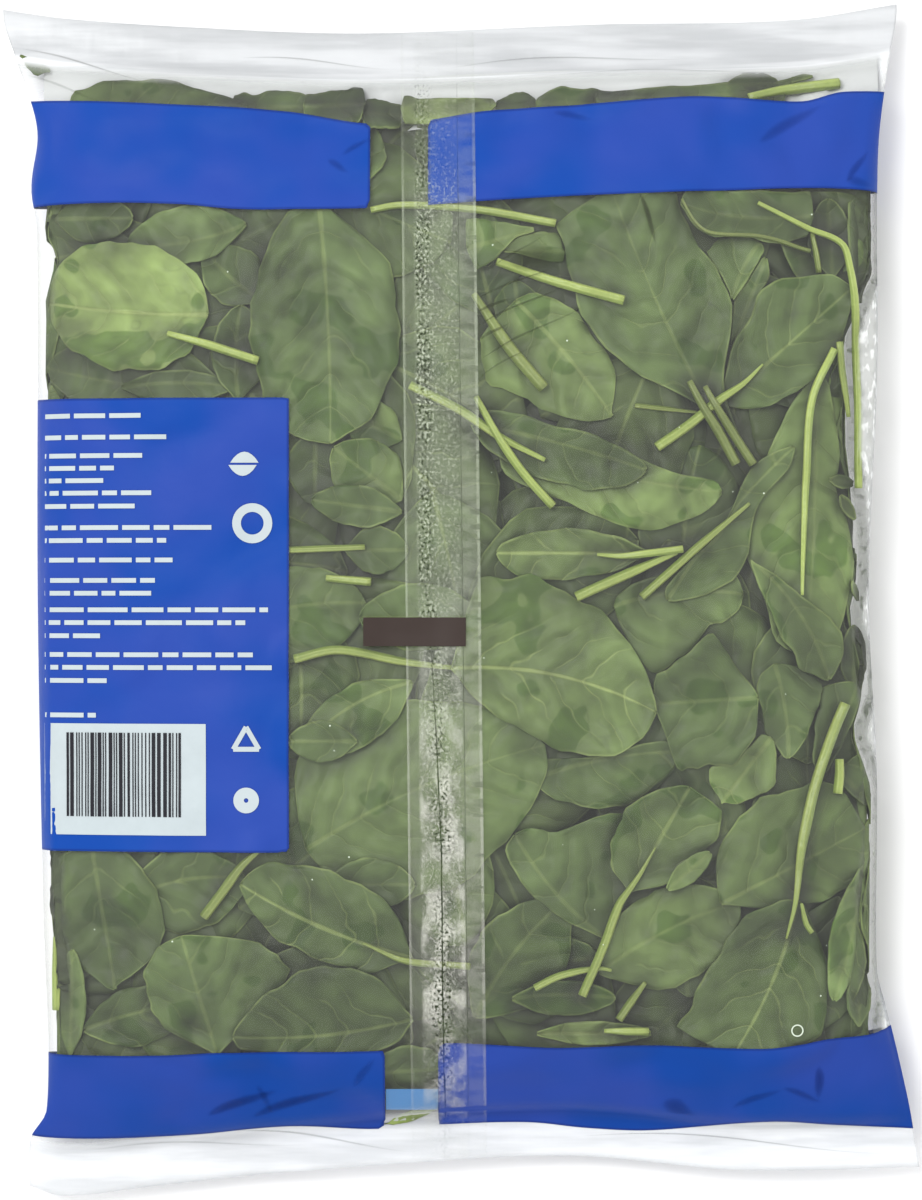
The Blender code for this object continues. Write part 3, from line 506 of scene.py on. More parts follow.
def scattered(name, seed, step, length, tone):
    """Leaves near the crossings of an even grid, each turned and sized by a seeded draw."""
    chance = random.Random(seed)
    columns, rows = int(SCATTER_HALF_WIDTH / step), int(SCATTER_HALF_LENGTH / step)
    made = []
    for column in range(-columns, columns + 1):
        for row in range(-rows, rows + 1):
            x = column * step + chance.uniform(-0.4, 0.4) * step
            y = row * step + chance.uniform(-0.4, 0.4) * step
            turn, long = chance.uniform(0, 2 * math.pi), chance.uniform(*length)
            made.append(plain_leaf(
                f"{name}_{len(made)}", x, y, turn, long,
                shape=long * chance.uniform(0.3, 0.42), tone=tone * chance.uniform(0.8, 1.2),
                yellow=chance.uniform(0, 0.12), vein=chance.uniform(0.1, 0.6), bend=chance.uniform(-3, 3),
            ))
    chance.shuffle(made)
    return made


DEEP = scattered("deep", seed=5, step=24, length=(40, 54), tone=0.6)
BETWEEN = scattered("between", seed=8, step=33, length=(36, 50), tone=0.75)
UNDERSIDE = scattered("under", seed=21, step=23, length=(40, 56), tone=0.95)
print(len(DEEP), "deep,", len(BETWEEN), "between and", len(UNDERSIDE), "under leaves")

# %% [markdown]
# ## Laying a leaf
# A blade is a flat grid that is widened to the leaf's outline and dropped on the map. Its rows are crowded
# towards the stalk and the tip, so that both come out round. The edges lift a little and ripple, as a young
# leaf's do.

# %% The outline of a leaf
EGG = ((0, 0.12), (0.06, 0.27), (0.2, 0.68), (0.35, 0.94), (0.5, 1), (0.65, 0.93), (0.8, 0.74), (0.94, 0.4),
       (1, 0.2))
STATIONS = (0.03, 0.09, 0.18, 0.29, 0.4, 0.5, 0.6, 0.71, 0.82, 0.91, 0.97)
LEAST_NOTED, LEAST_HALF_WIDTH = 0.4, 0.25
ROUNDED_FROM = 0.93


def axis_of(leaf):
    """The stalk end, the direction from it to the tip, and how far that is."""
    stalk, tip = np.array(leaf.stalk), np.array(leaf.tip)
    length = float(np.hypot(*(tip - stalk)))
    return stalk, (tip - stalk) / length, length


def noted_widths(leaf):
    """How far the listed outline reaches to the left and right of the line from stalk to tip."""
    stalk, along, length = axis_of(leaf)
    points = np.array(leaf.shape) - stalk
    share, off = points @ along / length, points @ (-along[1], along[0])
    left, right = [], []
    for station in STATIONS:
        crossed = [LEAST_NOTED, -LEAST_NOTED]
        for here, there in zip(range(len(points)), [*range(1, len(points)), 0]):
            step = share[there] - share[here]
            if step and 0 <= (station - share[here]) / step <= 1:
                crossed.append(off[here] + (off[there] - off[here]) * (station - share[here]) / step)
        left.append((station, max(crossed)))
        right.append((station, -min(crossed)))
    return left, right


def blade_outline(leaf, u):
    """Half widths to the left and the right of the straight line from stalk to tip."""
    chance = random.Random(leaf.name)
    if isinstance(leaf.shape, tuple):
        shapes = noted_widths(leaf)
    else:
        shapes = [[(station, share * leaf.shape) for station, share in EGG]] * 2
    rounding = np.minimum(1, np.sqrt(np.maximum(0, 1 - (2 * u - 1) ** 2) / (1 - ROUNDED_FROM**2)))
    widths = []
    for shape in shapes:
        width = curve_through(shape, u) * rounding
        ripple = 0.028 * np.sin(u * chance.uniform(14, 22) + chance.uniform(0, 6))
        ripple = ripple + 0.018 * np.sin(u * chance.uniform(34, 46) + chance.uniform(0, 6))
        widths.append(np.maximum(LEAST_HALF_WIDTH, width * (1 + ripple)))
    return widths


# %% One leaf as rows of places
MAP_STEPS = 3                                   # a blade raises the map at this many times its own points
HIDDEN_SIDE_ROOM, SEEN_SIDE_ROOM = 1.0, 1.2     # least distances from the side folds
HIDDEN_END_ROOM, SEEN_END_ROOM = 25.5, 11       # and from the ends of the bag


def blade_grid(leaf, rows, columns):
    """Places over a blade: u from stalk to tip, k from rim to rim, and what each point carries."""
    t = np.linspace(0, 1, rows + 1)[:, None]
    k = np.linspace(-1, 1, columns + 1)[None, :]
    u = 0.4 * t + 0.6 * (0.5 - 0.5 * np.cos(np.pi * t))
    stalk, along, length = axis_of(leaf)
    left, right = blade_outline(leaf, u)
    rib = np.clip(leaf.bend * 4 * u * (1 - u), -0.7 * right, 0.7 * left)
    off = np.where(k > 0, rib + k * (left - rib), rib + k * (right + rib))
    x = stalk[0] + along[0] * u * length - along[1] * off
    y = stalk[1] + along[1] * u * length + along[0] * off
    return u, k, {"x": x, "y": y, "from_rib": np.abs(off - rib),
                  "from_edge": np.where(off > 0, left - off, right + off),
                  "along": np.broadcast_to(u * length, x.shape)}


def raise_map(heights, x, y, z):
    """Makes the map at least this high at these places."""
    np.maximum.at(heights, nearest_places(x, y), z)


def lay_leaf(leaf, heights, rows, columns, gap, limit=None, hidden=True):
    """Lays one blade on the map and raises the map under it. A hidden one stays well inside the heap."""
    chance = random.Random(leaf.name + "lift")
    u, k, blade = blade_grid(leaf, rows * MAP_STEPS, columns * MAP_STEPS)
    low_side, high_side = heap_sides(blade["y"]) if hidden else sides(blade["y"])
    room = HIDDEN_SIDE_ROOM + chance.uniform(0, 2) if hidden else SEEN_SIDE_ROOM
    x = np.clip(blade["x"], low_side + room, high_side - room)
    low_end, high_end = ends(x)
    room = HIDDEN_END_ROOM if hidden else SEEN_END_ROOM
    y = np.clip(blade["y"], low_end + room, high_end - room)
    cup = gap * 0.5 * (k**2 - 0.4) + 0.25 * np.abs(k) ** 3 * np.sin(7 * u + chance.uniform(0, 6))
    curl = 0.3 * np.sin(4 * u + 2 * k + chance.uniform(0, 6))
    z = read_map(as_bed(heights), x, y) + gap + cup + curl
    if limit is not None:
        z = np.minimum(z, read_map(limit, x, y))
    raise_map(heights, x, y, z)
    blade |= {"x": x, "y": y, "z": z}
    return {"leaf": leaf} | {key: values[::MAP_STEPS, ::MAP_STEPS] for key, values in blade.items()}


# %% One stalk as a line of places
STEM_STEP, LEAST_STEM_POINTS = 1.5, 5
STEM_LIFT = 0.375       # in its own thicknesses
STEM_STIFFNESS = 4      # it follows the heap at every fourth place only


def lay_stem(stem, heights):
    """Lays a stiff stalk on the map and raises the map under it."""
    route = np.array(stem.route, float)
    walked = np.concatenate([[0], np.cumsum(np.hypot(*np.diff(route, axis=0).T))])
    at = np.linspace(0, walked[-1], max(LEAST_STEM_POINTS, round(walked[-1] / STEM_STEP) + 1))
    x, y = (curve_through(list(zip(walked, route[:, axis])), at) for axis in (0, 1))
    rest = read_map(as_bed(heights), x, y) + stem.thickness * STEM_LIFT
    z = curve_through(list(zip(at[::STEM_STIFFNESS], rest[::STEM_STIFFNESS])), at)
    raise_map(heights, x, y, z + stem.thickness / 2)
    return {"stem": stem, "radius": stem.thickness / 2, "x": x, "y": y, "z": z}


# %% Build the heap from the bottom up
BED_SHARE, BED_HOLLOW = 0.8, 2.5    # the bed's share of the height over the side folds, less a hollow
FILM_CLEARANCE = 0.35               # leaves stay this far under the film
RIM_FILL, RIM_STEEPNESS = 0.3, 60   # further in, the film follows the leaves, so their limit rises away
SCRAP_LIFT = 0.6

heap = FOLD + (BACK - FOLD) * BED_SHARE - BED_HOLLOW * FILL
between_films = BACK - FILM_CLEARANCE + RIM_STEEPNESS * np.maximum(0, FILL - RIM_FILL)
laid = {"deep": [], "between": [], "behind": [], "pressed": [], "stems": [], "outside": []}
for leaf in DEEP:
    laid["deep"].append(lay_leaf(leaf, heap, rows=10, columns=6, gap=0.35))
for leaf in BETWEEN:
    laid["between"].append(lay_leaf(leaf, heap, rows=12, columns=8, gap=0.6))
for part in sorted(LEAVES + STEMS, key=lambda part: part.layer):
    if isinstance(part, Stem):
        laid["stems"].append(lay_stem(part, heap))
    elif part.layer >= OUTSIDE:
        laid["outside"].append(lay_leaf(part, BACK.copy(), 10, 6, 0.8, BACK + SCRAP_LIFT, hidden=False))
    elif part.layer > BEHIND:
        laid["pressed"].append(lay_leaf(part, heap, 28, 12, 1.1, between_films, hidden=False))
    else:
        laid["behind"].append(lay_leaf(part, heap, 24, 12, 0.8, between_films, hidden=False))
print("the heap rises to", round(float(heap.max()), 1), "mm before it settles")

# %% [markdown]
# ## Settling
# The film holds the heap down, so its top is level with the pillow. The whole heap is lowered or raised
# by a very smooth map, which keeps every leaf above the one it lies on.

# %% Settle the heap under the film
PRESS = 0.9                             # the heap's top ends this far under the plain pillow
HEAP_REACH, SETTLE_REACH = 9, 12
settle = BACK - PRESS - soften(spread(heap, 1.5), HEAP_REACH)
settle = soften(settle, SETTLE_REACH) * np.minimum(1, FILL * 2)
for piece in (piece for group in laid if group != "outside" for piece in laid[group]):
    room = read_map(between_films, piece["x"], piece["y"]) - piece.get("radius", 0)
    piece["z"] = np.minimum(piece["z"] + read_map(settle, piece["x"], piece["y"]), room)
heap = heap + settle
print("settled by", round(float(settle.min()), 1), "to", round(float(settle.max()), 1), "mm")

# %% The leaves on the underside
# They are laid upside down, so that the floor film is the roof that holds them.
UNDER_DEPTH, UNDER_CLEARANCE = 5, 0.45
under = -(FLOOR + UNDER_DEPTH * FILL)
roof = -(FLOOR + UNDER_CLEARANCE)
laid["under"] = [lay_leaf(leaf, under, rows=10, columns=6, gap=0.5, limit=roof) for leaf in UNDERSIDE]
for piece in laid["under"]:
    piece["z"] = -piece["z"]
print(len(laid["under"]), "leaves lie on the floor film")

# %% [markdown]
# ## Leaves round the side folds
# Seen from the side, the bag shows leaves that stand against the fold. They can't be laid from above, so
# each is wrapped round a loop: the cross-section of the bag, drawn a little inside the film.

# %% Wrap leaves round the sides
SIDE_LEAVES, SIDE_HALF_LENGTH = 26, 122
SIDE_LOW, SIDE_HIGH = -123, 128
LOOP_REACH, LOOP_POINTS = 30, 61
LOOP_INSET, LOOP_SPACING, LOOPS = 1.3, 0.5, 4


def wrapped(leaf, side, inset):
    """A blade whose x is read as a distance round the fold, from its outermost point."""
    _, _, blade = blade_grid(leaf, 10, 6)
    round_fold, y = blade["x"], np.clip(blade["y"], SIDE_LOW, SIDE_HIGH)
    reach = np.linspace(0, LOOP_REACH, LOOP_POINTS)
    x, z = np.empty_like(y), np.empty_like(y)
    for place in np.ndindex(y.shape):
        fold = heap_sides(y[place])[0 if side < 0 else 1]
        loop_x = fold - side * (reach + inset)
        top = back_height(loop_x, y[place]) - inset - 0.3 * reach
        low = floor_height(loop_x, y[place]) + inset + 0.1 * reach
        middle = (top[0] + low[0]) / 2
        loop_x = np.concatenate([[loop_x[0]], loop_x])
        loop_z = np.concatenate([[middle], top if round_fold[place] > 0 else low])
        walked = np.concatenate([[0], np.cumsum(np.hypot(np.diff(loop_x), np.diff(loop_z)))])
        x[place] = np.interp(abs(round_fold[place]), walked, loop_x)
        z[place] = np.interp(abs(round_fold[place]), walked, loop_z)
    return {"leaf": leaf} | blade | {"x": x, "y": y, "z": z}


chance = random.Random(33)
laid["side"] = []
for side in (-1, 1):
    for index in range(SIDE_LEAVES):
        y = -SIDE_HALF_LENGTH + 2 * SIDE_HALF_LENGTH * index / (SIDE_LEAVES - 1) + chance.uniform(-6, 6)
        turn, long = chance.uniform(0.9, 2.2), chance.uniform(34, 46)
        leaf = plain_leaf(
            f"side_{side}_{index}", chance.uniform(-12, 0), y, turn, long,
            shape=long * chance.uniform(0.3, 0.4), tone=chance.uniform(0.7, 1.15),
            yellow=chance.uniform(0, 0.15), vein=chance.uniform(0.1, 0.6),
        )
        laid["side"].append(wrapped(leaf, side, LOOP_INSET + LOOP_SPACING * (index % LOOPS)))
print(len(laid["side"]), "leaves stand at the sides")

# %% How much light each point gets
LIT_DEPTH, SHADE_DEPTH = 0.5, 3.5
OTHER_SHADE = 0.15      # for leaves that don't lie in the heap


def light_on(pieces, heights):
    """Keeps, for each point, how deep it lies below what is round it: 0 on top, 1 in a deep gap."""
    ceiling = as_bed(heights)
    for piece in pieces:
        depth = read_map(ceiling, piece["x"], piece["y"]) - piece["z"]
        piece["shade"] = np.clip((depth - LIT_DEPTH) / SHADE_DEPTH, 0, 1)


for group in ("deep", "between", "behind", "pressed"):
    light_on(laid[group], heap)
for group in ("side", "under", "outside"):
    for piece in laid[group]:
        piece["shade"] = np.full_like(piece["x"], OTHER_SHADE)
mean_shade = np.mean([piece["shade"].mean() for piece in laid["deep"]])
print("the deepest leaves get", round(float(mean_shade), 2), "shade")

# %% [markdown]
# ## Making the meshes
# Each blade starts as Blender's own grid with a UV map, whose points are then moved to the places worked
# out above. All blades of one kind are joined in one mesh. Each point also keeps numbers for the
# material: how far it is from the midrib and from the rim, how far along the blade, and how light and how
# yellow this leaf is. A Solidify modifier gives the blades their thickness.

# %% Turn blades into one mesh
BLADE_THICKNESS = 0.35


def finish_piece(name, mesh, material):
    """A mesh becomes a piece of the object that rides with it and stands for the solid."""
    data = bpy.data.meshes.new(name)
    mesh.to_mesh(data)
    mesh.free()
    data.materials.append(material)
    data.shade_smooth()
    piece = bpy.data.objects.new(name, data)
    bpy.context.scene.collection.objects.link(piece)
    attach(piece, "root")
    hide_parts("bag")
    print(name, "has", sum(len(face.vertices) - 2 for face in data.polygons), "triangles")
    return piece


def blades_piece(name, pieces, material, downward=False):
    mesh = bmesh.new()
    mesh.loops.layers.uv.new("blade")
    layers = mesh.verts.layers.float
    measured = [(key, layers.new(key)) for key in ("from_rib", "from_edge", "along", "shade")]
    given = [(key, layers.new(key)) for key in ("tone", "yellow", "vein")]
    for piece in pieces:
        rows, columns = piece["x"].shape[0] - 1, piece["x"].shape[1] - 1
        made = bmesh.ops.create_grid(mesh, x_segments=rows, y_segments=columns, size=1, calc_uvs=True)
        for vert in made["verts"]:
            place = round((vert.co.x + 1) / 2 * rows), round((vert.co.y + 1) / 2 * columns)
            vert.co = Vector([float(piece[axis][place]) for axis in "xyz"]) * MM
            for key, layer in measured:
                vert[layer] = float(piece[key][place])
            for key, layer in given:
                vert[layer] = getattr(piece["leaf"], key)
    if downward:
        bmesh.ops.reverse_faces(mesh, faces=mesh.faces[:])
    piece = finish_piece(name, mesh, material)
    thickness = piece.modifiers.new("blade thickness", "SOLIDIFY")
    thickness.thickness = BLADE_THICKNESS * MM
    thickness.offset = -1


# %% [markdown]
# ## Writing materials as sums
# A material is a web of nodes, and most of them only add or multiply. A small class wraps one output of a
# node, so that Python's own signs add those nodes. Colours need Mix nodes, since a Math node makes a colour
# grey.

# %% Sums that make nodes
class Wire:
    """One output of a node. Sums on it add Math nodes."""

    def __init__(self, finish, socket):
        self.finish, self.socket = finish, socket

    def sum(self, operation, *values):
        return self.finish.node("Math", {"operation": operation}, dict(enumerate(values)))

    def __add__(self, other):
        return self.sum("ADD", self, other)

    def __sub__(self, other):
        return self.sum("SUBTRACT", self, other)

    def __rsub__(self, other):
        return self.sum("SUBTRACT", other, self)

    def __mul__(self, other):
        return self.sum("MULTIPLY", self, other)

    def __truediv__(self, other):
        return self.sum("DIVIDE", self, other)

    __radd__, __rmul__ = __add__, __mul__

    def size(self):
        return self.sum("ABSOLUTE", self)

    def floor(self):
        return self.sum("FLOOR", self)

    def limited(self):
        return self.finish.node("Clamp", {}, {0: self})

    def ramp(self, start, end):
        """0 up to start, 1 from end, and a smooth rise between."""
        return self.finish.node("MapRange", {"interpolation_type": "SMOOTHSTEP"}, {0: self, 1: start, 2: end})


class Finish:
    """A new material and the means to add nodes to it."""

    def __init__(self, name):
        self.material = bpy.data.materials.new(name)
        self.material.use_nodes = True
        self.tree = self.material.node_tree
        self.shader = self.tree.nodes["Principled BSDF"]

    def node(self, kind, settings, inputs, output=0):
        made = self.tree.nodes.new("ShaderNode" + kind)
        for key, value in settings.items():
            setattr(made, key, value)
        self.set(made, inputs)
        return Wire(self, made.outputs[output])

    def set(self, node, inputs):
        for key, value in inputs.items():
            if isinstance(value, Wire):
                self.tree.links.new(value.socket, node.inputs[key])
            else:
                node.inputs[key].default_value = value

    def surface(self, **inputs):
        self.set(self.shader, {key.replace("_", " "): value for key, value in inputs.items()})

    def place(self, scale=(1, 1, 1)):
        """The point in millimetres, stretched by scale."""
        point = self.node("TexCoord", {}, {}, "Object")
        scale = tuple(1000 * share for share in scale)
        return self.node("VectorMath", {"operation": "MULTIPLY"}, {0: point, 1: scale})

    def lengthwise(self):
        """How far towards the top end the point is from the middle of the bag, in millimetres."""
        return self.node("SeparateXYZ", {}, {0: self.place()}, 1)

    def value(self, name):
        return self.node("Attribute", {"attribute_name": name}, {}, "Fac")

    def noise(self, size, detail=3, where=None):
        """Soft blotches this many millimetres across, about 0 to 1."""
        where = where or self.place()
        return self.node("TexNoise", {}, {"Vector": where, "Scale": 1 / size, "Detail": detail})

    def mix(self, share, a, b):
        """Colour a where share is 0, colour b where it is 1."""
        return self.node("Mix", {"data_type": "RGBA"}, {0: share, 6: a, 7: b}, 2)

    def between(self, share, a, b):
        """The same for two numbers."""
        return a + (b - a) * share

    def scaled(self, colour, by):
        """The colour made lighter or darker by a number."""
        return self.node("VectorMath", {"operation": "SCALE"}, {0: colour, "Scale": by})

    def bump(self, height, depth):
        """Relief of this many millimetres."""
        return self.node("Bump", {}, {"Height": height, "Distance": depth * MM, "Strength": 1.0}, "Normal")


# %% [markdown]
# ## Spinach leaf
# A blade is a deep, slightly grey green. A pale midrib runs down it, side veins leave it at a slant, and a
# fine net of veins puckers the rest. The pattern follows the distances kept on the mesh, so that a vein is
# as wide on a big leaf as on a small one.

# %% Leaf material
LEAF_GREEN, LEAF_YELLOW, LEAF_WET = (0.079, 0.118, 0.036, 1), (0.19, 0.24, 0.066, 1), (0.03, 0.068, 0.004, 1)
VEIN_GREEN, PAINTED_GAP_SHADE = (0.24, 0.3, 0.1, 1), (0.02, 0.019, 0.019, 1)
VEIN_SPACING = 9.5


def leaf_finish():
    f = Finish("spinach_leaf")
    from_rib, from_edge, along = f.value("from_rib"), f.value("from_edge"), f.value("along")
    tone, yellow, vein, shade = f.value("tone"), f.value("yellow"), f.value("vein"), f.value("shade")
    drift = f.noise(13, 2)
    # The midrib wanders a little and thins towards the tip. Side veins are stripes that slant away from it,
    # and the blade swells between them.
    rib = 1 - ((from_rib + drift * 0.8 - 0.4).size() + along * 0.006).ramp(0.3, 0.9)
    slant = (along - from_rib * 0.6 - from_rib * from_rib * 0.03 + 14 * drift) / VEIN_SPACING
    from_vein = (slant - slant.floor() - 0.5).size() * VEIN_SPACING
    branch = (1 - from_rib.ramp(7, 17)) * f.noise(9, 1).ramp(0.34, 0.46)
    side_vein = (1 - from_vein.ramp(0.12, 0.6)) * branch
    swell = from_vein.ramp(0, 4) * (1 - from_rib.ramp(8, 20))
    rim = (1 - from_edge.ramp(0.2, 0.7)) * f.noise(11, 2).ramp(0.35, 0.6)
    cloud = f.noise(24, 2)
    blotch = f.noise(7, 3)
    grain = f.noise(1.1, 2)
    # Fine folds are painted as darker lines: painted shade. Patches that are wet are darker too.
    crease_shade = 1 - (f.noise(15, 2, f.place((1, 1, 0.3))) - 0.5).size().ramp(0.002, 0.012)
    crease_shade = crease_shade * f.noise(21, 1).ramp(0.5, 0.62)
    wet = (f.noise(19, 2) - shade * 0.12).ramp(0.575, 0.592)
    green = f.mix(yellow, LEAF_GREEN, LEAF_YELLOW)
    green = f.mix(wet * 0.62, green, LEAF_WET)
    # Blotches of the blade's own tone, with painted light on the swells between side veins and painted shade
    # along the fine folds.
    light = 1.5 * cloud + 1.2 * blotch + 0.06 * grain + 0.16 * swell - 0.16 * crease_shade - 0.46
    veins = (vein * rib * 0.8 + side_vein * (0.06 + 0.36 * vein) + rim * (0.36 + 0.1 * vein)).limited()
    colour = f.mix(veins, f.scaled(green, tone), VEIN_GREEN)
    # Points that lie deep below the leaves round them are painted darker, towards a near black: painted
    # shade.
    colour = f.mix(shade * 0.75, f.scaled(colour, light), PAINTED_GAP_SHADE)
    relief = f.noise(12, 1) * 4.5 + f.noise(5, 0) * 0.8 + swell * 0.6
    relief = relief - 0.2 * vein * rib - 0.15 * side_vein
    f.surface(Base_Color=colour, Roughness=0.42 + 0.2 * blotch, Normal=f.bump(relief, 0.9),
              Specular_IOR_Level=0.22)
    return f.material


LEAF = leaf_finish()
for group in ("deep", "between", "behind", "pressed"):
    blades_piece("leaves_" + group, laid[group], LEAF)
blades_piece("leaf_scrap", laid["outside"], LEAF)
blades_piece("leaves_under", laid["under"], LEAF, downward=True)
blades_piece("leaves_side", laid["side"], LEAF)

# %% [markdown]
# ## The dark middle of the heap
# Between the leaves one looks into the shade of more leaves. A closed, dark green pillow well inside the
# bag stands for all that light never reaches.

# %% Core
ROUGH_LENGTH = 310      # enough to look up the sides by
COLUMN_CROWDING = 0.65  # towards the side folds
CORE_TOP_SHARE, CORE_HOLLOW, CORE_LOW_SHARE, CORE_LOW_DROP = 0.72, 2.5, 0.6, 0.1
CORE_SIDE_INSET, CORE_END_INSET = 5, 14


def pillow(columns, rows, top_at, low_at, sides_at=sides, inset=0.0, end_inset=0.0, keep=()):
    """A closed pillow: a grid for the upper side, its copy for the lower one and a bridge between them.

    keep names the numbers that its points will carry. They are added before any point is made, because
    adding one later would make the points that Python already holds unusable."""
    mesh = bmesh.new()
    for key in keep:
        mesh.verts.layers.float.new(key)
    bmesh.ops.create_grid(mesh, x_segments=columns, y_segments=rows, size=1)
    upper = mesh.verts[:]
    spots = np.array([vert.co[:2] for vert in upper])
    t, v = spots[:, 0], (spots[:, 1] + 1) / 2
    s = COLUMN_CROWDING * np.sin(t * np.pi / 2) + (1 - COLUMN_CROWDING) * t
    left, right = sides_at((v - 0.5) * ROUGH_LENGTH)
    x = (left + right) / 2 + s * ((right - left) / 2 - inset)
    low, high = ends(x)
    y = low + end_inset + v * (high - low - 2 * end_inset)
    copied = bmesh.ops.duplicate(mesh, geom=mesh.verts[:] + mesh.edges[:] + mesh.faces[:])["vert_map"]
    for vert, px, py, top, bottom in zip(upper, x, y, top_at(x, y), low_at(x, y)):
        vert.co = Vector((px, py, top)) * MM
        copied[vert].co = Vector((px, py, bottom)) * MM
    bmesh.ops.bridge_loops(mesh, edges=[edge for edge in mesh.edges if edge.is_boundary])
    bmesh.ops.recalc_face_normals(mesh, faces=mesh.faces[:])
    return mesh, upper, [copied[vert] for vert in upper], x, y


def core_finish():
    f = Finish("shade_between_leaves")
    shade = f.mix(f.noise(12, 4), (0.012, 0.018, 0.008, 1), (0.05, 0.07, 0.024, 1))
    f.surface(Base_Color=shade, Roughness=0.8, Normal=f.bump(f.noise(6, 3), 1.5))
    return f.material


def core_top(x, y):
    fold = fold_height(x, y)
    hollow = CORE_HOLLOW * fullness(x, y) * section(x, y)
    return fold + (back_height(x, y) - fold) * CORE_TOP_SHARE - hollow


def core_low(x, y):
    fold = fold_height(x, y)
    return fold - (fold - floor_height(x, y)) * CORE_LOW_SHARE - CORE_LOW_DROP


core_mesh = pillow(40, 56, core_top, core_low, heap_sides, CORE_SIDE_INSET, SEAL_WIDTH + CORE_END_INSET)[0]
finish_piece("core", core_mesh, core_finish())

# %% [markdown]
# ## Stalks
# A stalk is round and green-yellow, and cut off at its end. A curve with a round bevel makes it in one
# step. It could be kept as a curve, but one mesh for all stalks can carry the tone of each.

# %% Stalk material
STALK_DARK, STALK_PALE = (0.17, 0.25, 0.04, 1), (0.38, 0.46, 0.11, 1)


def stem_finish():
    f = Finish("spinach_stalk")
    streaks = f.noise(1.2, 2, f.place((1, 1, 0.4)))
    across = f.value("across") * 6.5 + f.noise(9, 1) * 4
    # Lengthwise ridges, lighter on their crests: partly the stalk's own stripes and partly painted highlight.
    ridges_and_highlights = across.sum("COSINE", across) * 0.5 + 0.5
    # One side of each stalk is painted paler than the other: painted light from that side.
    painted_side_light = f.value("across").ramp(-0.9, 0.7)
    colour = f.mix(0.4 * streaks + 0.25 * ridges_and_highlights + 0.35 * painted_side_light, STALK_DARK, STALK_PALE)
    colour = f.scaled(colour, f.value("tone") * (0.7 + 0.6 * f.noise(14)))
    f.surface(Base_Color=colour, Roughness=0.4, Normal=f.bump(streaks + ridges_and_highlights * 0.6, 0.25))
    return f.material


# %% Make the stalks
STALK_TAPER = 2.2       # a stalk is thin at its start and full from 1 / 2.2 of its length


def stems_mesh():
    mesh = bmesh.new()
    tone_key, across_key = (mesh.verts.layers.float.new(name) for name in ("tone", "across"))
    for piece in laid["stems"]:
        stem = piece["stem"]
        curve = bpy.data.curves.new(stem.name, "CURVE")
        curve.dimensions = "3D"
        curve.bevel_depth = stem.thickness / 2 * MM
        curve.bevel_resolution = 3
        curve.use_fill_caps = True
        line = curve.splines.new("POLY")
        line.points.add(len(piece["x"]) - 1)
        for index, point in enumerate(line.points):
            point.co = (Vector([piece[axis][index] for axis in "xyz"]) * MM).to_4d()
            point.radius = stem.thin + (1 - stem.thin) * min(1, STALK_TAPER * index / len(piece["x"]))
        holder = bpy.data.objects.new(stem.name, curve)
        bpy.context.scene.collection.objects.link(holder)
        start = len(mesh.verts)
        mesh.from_mesh(bpy.data.meshes.new_from_object(
            holder.evaluated_get(bpy.context.evaluated_depsgraph_get())))
        mesh.verts.ensure_lookup_table()
        middle = np.array([piece[axis] for axis in "xyz"]).T
        heading = np.gradient(middle, axis=0)
        for vert in mesh.verts[start:]:
            nearest = np.argmin(((middle - np.array(vert.co) / MM) ** 2).sum(1))
            dx, dy = (np.array(vert.co) / MM - middle[nearest])[:2]
            hx, hy = (heading[nearest] / np.linalg.norm(heading[nearest]))[:2]
            vert[tone_key] = stem.tone
            vert[across_key] = float(dy * hx - dx * hy) / (stem.thickness / 2)
        bpy.data.objects.remove(holder)
    bmesh.ops.remove_doubles(mesh, verts=mesh.verts[:], dist=1e-6)
    bmesh.ops.recalc_face_normals(mesh, faces=mesh.faces[:])
    return mesh


finish_piece("stems", stems_mesh(), stem_finish())

# %% [markdown]
# ## The film
# The film is one closed envelope. Its upper side hangs from the leaves' high points and stays taut over the
# gaps. It could be a cloth run, but the map of the heap already says where it touches. Each of its points
# keeps how far it is inside the blue print, how much it belongs to a seal, how near it is to a fold, and
# whether it is bare, with no leaf behind it. Where it is bare, it is painted whiter and denser: painted light
# on the shaded gap beside the heap. The ink is a second skin, a tenth of a millimetre further out, cut to
# the print's edge by the first of these numbers.

# %% Where the film lies
FILM_SAG = 0.9          # how far it may hang below the plain pillow over a gap
film_map = np.maximum(BACK - FILM_SAG * FILL, soften(spread(heap, 2.5), 3.5) + FILM_CLEARANCE)


def inside_rim(x, y):
    """0 at the side folds and on the seals, 1 from a few millimetres inside."""
    return np.clip((1 - np.abs(across(x, y))) * 30, 0, 1) * np.clip(fullness(x, y) * 6, 0, 1)


def film_top(x, y):
    share = inside_rim(x, y)
    return read_map(film_map, x, y) * share + back_height(x, y) * (1 - share)


# %% Edges of the blue print
TOP_BAND_UPPER = ((-125, 134), (-96, 133.3), (-46, 130.3), (-25, 127), (-9, 128), (6, 130.4), (18, 131.2),
                  (37, 132.5), (64, 134.5), (91, 133.3), (102, 136), (120, 136.4))
TOP_BAND_LOWER = ((-125, 104.6), (-97, 105.7), (-75, 105.2), (-60, 103.8), (-43, 103.7), (-24, 104),
                  (-9, 104.8), (21, 106.8), (45, 107.9), (69, 108.8), (99, 109.8), (120, 108.5))
BOTTOM_BAND_UPPER = ((-120, -120.5), (-107, -121.5), (-80, -121.4), (-62, -120.4), (-22, -120), (-6, -118),
                     (26, -119.3), (48, -118.5), (80, -119.6), (90, -118.6), (97, -117.2), (110, -115.9),
                     (120, -112.2))
BOTTOM_BAND_LOWER = ((-125, -143), (-107, -144.4), (-88, -144.2), (-70, -143.4), (-56, -142), (-44, -141.4),
                     (-24, -142.4), (-6, -141.2), (18, -140.6), (34, -142.2), (51, -142.8), (83, -140),
                     (99, -141), (125, -142.4))
TOP_BAND_GAP, BOTTOM_BAND_GAP = (-24.2, -8.8), (-20.3, -6.1)
PANEL_TOP, PANEL_BOTTOM, PANEL_RIGHT, PANEL_RIGHT_BELOW = 53.5, -66.8, -45.5, -88


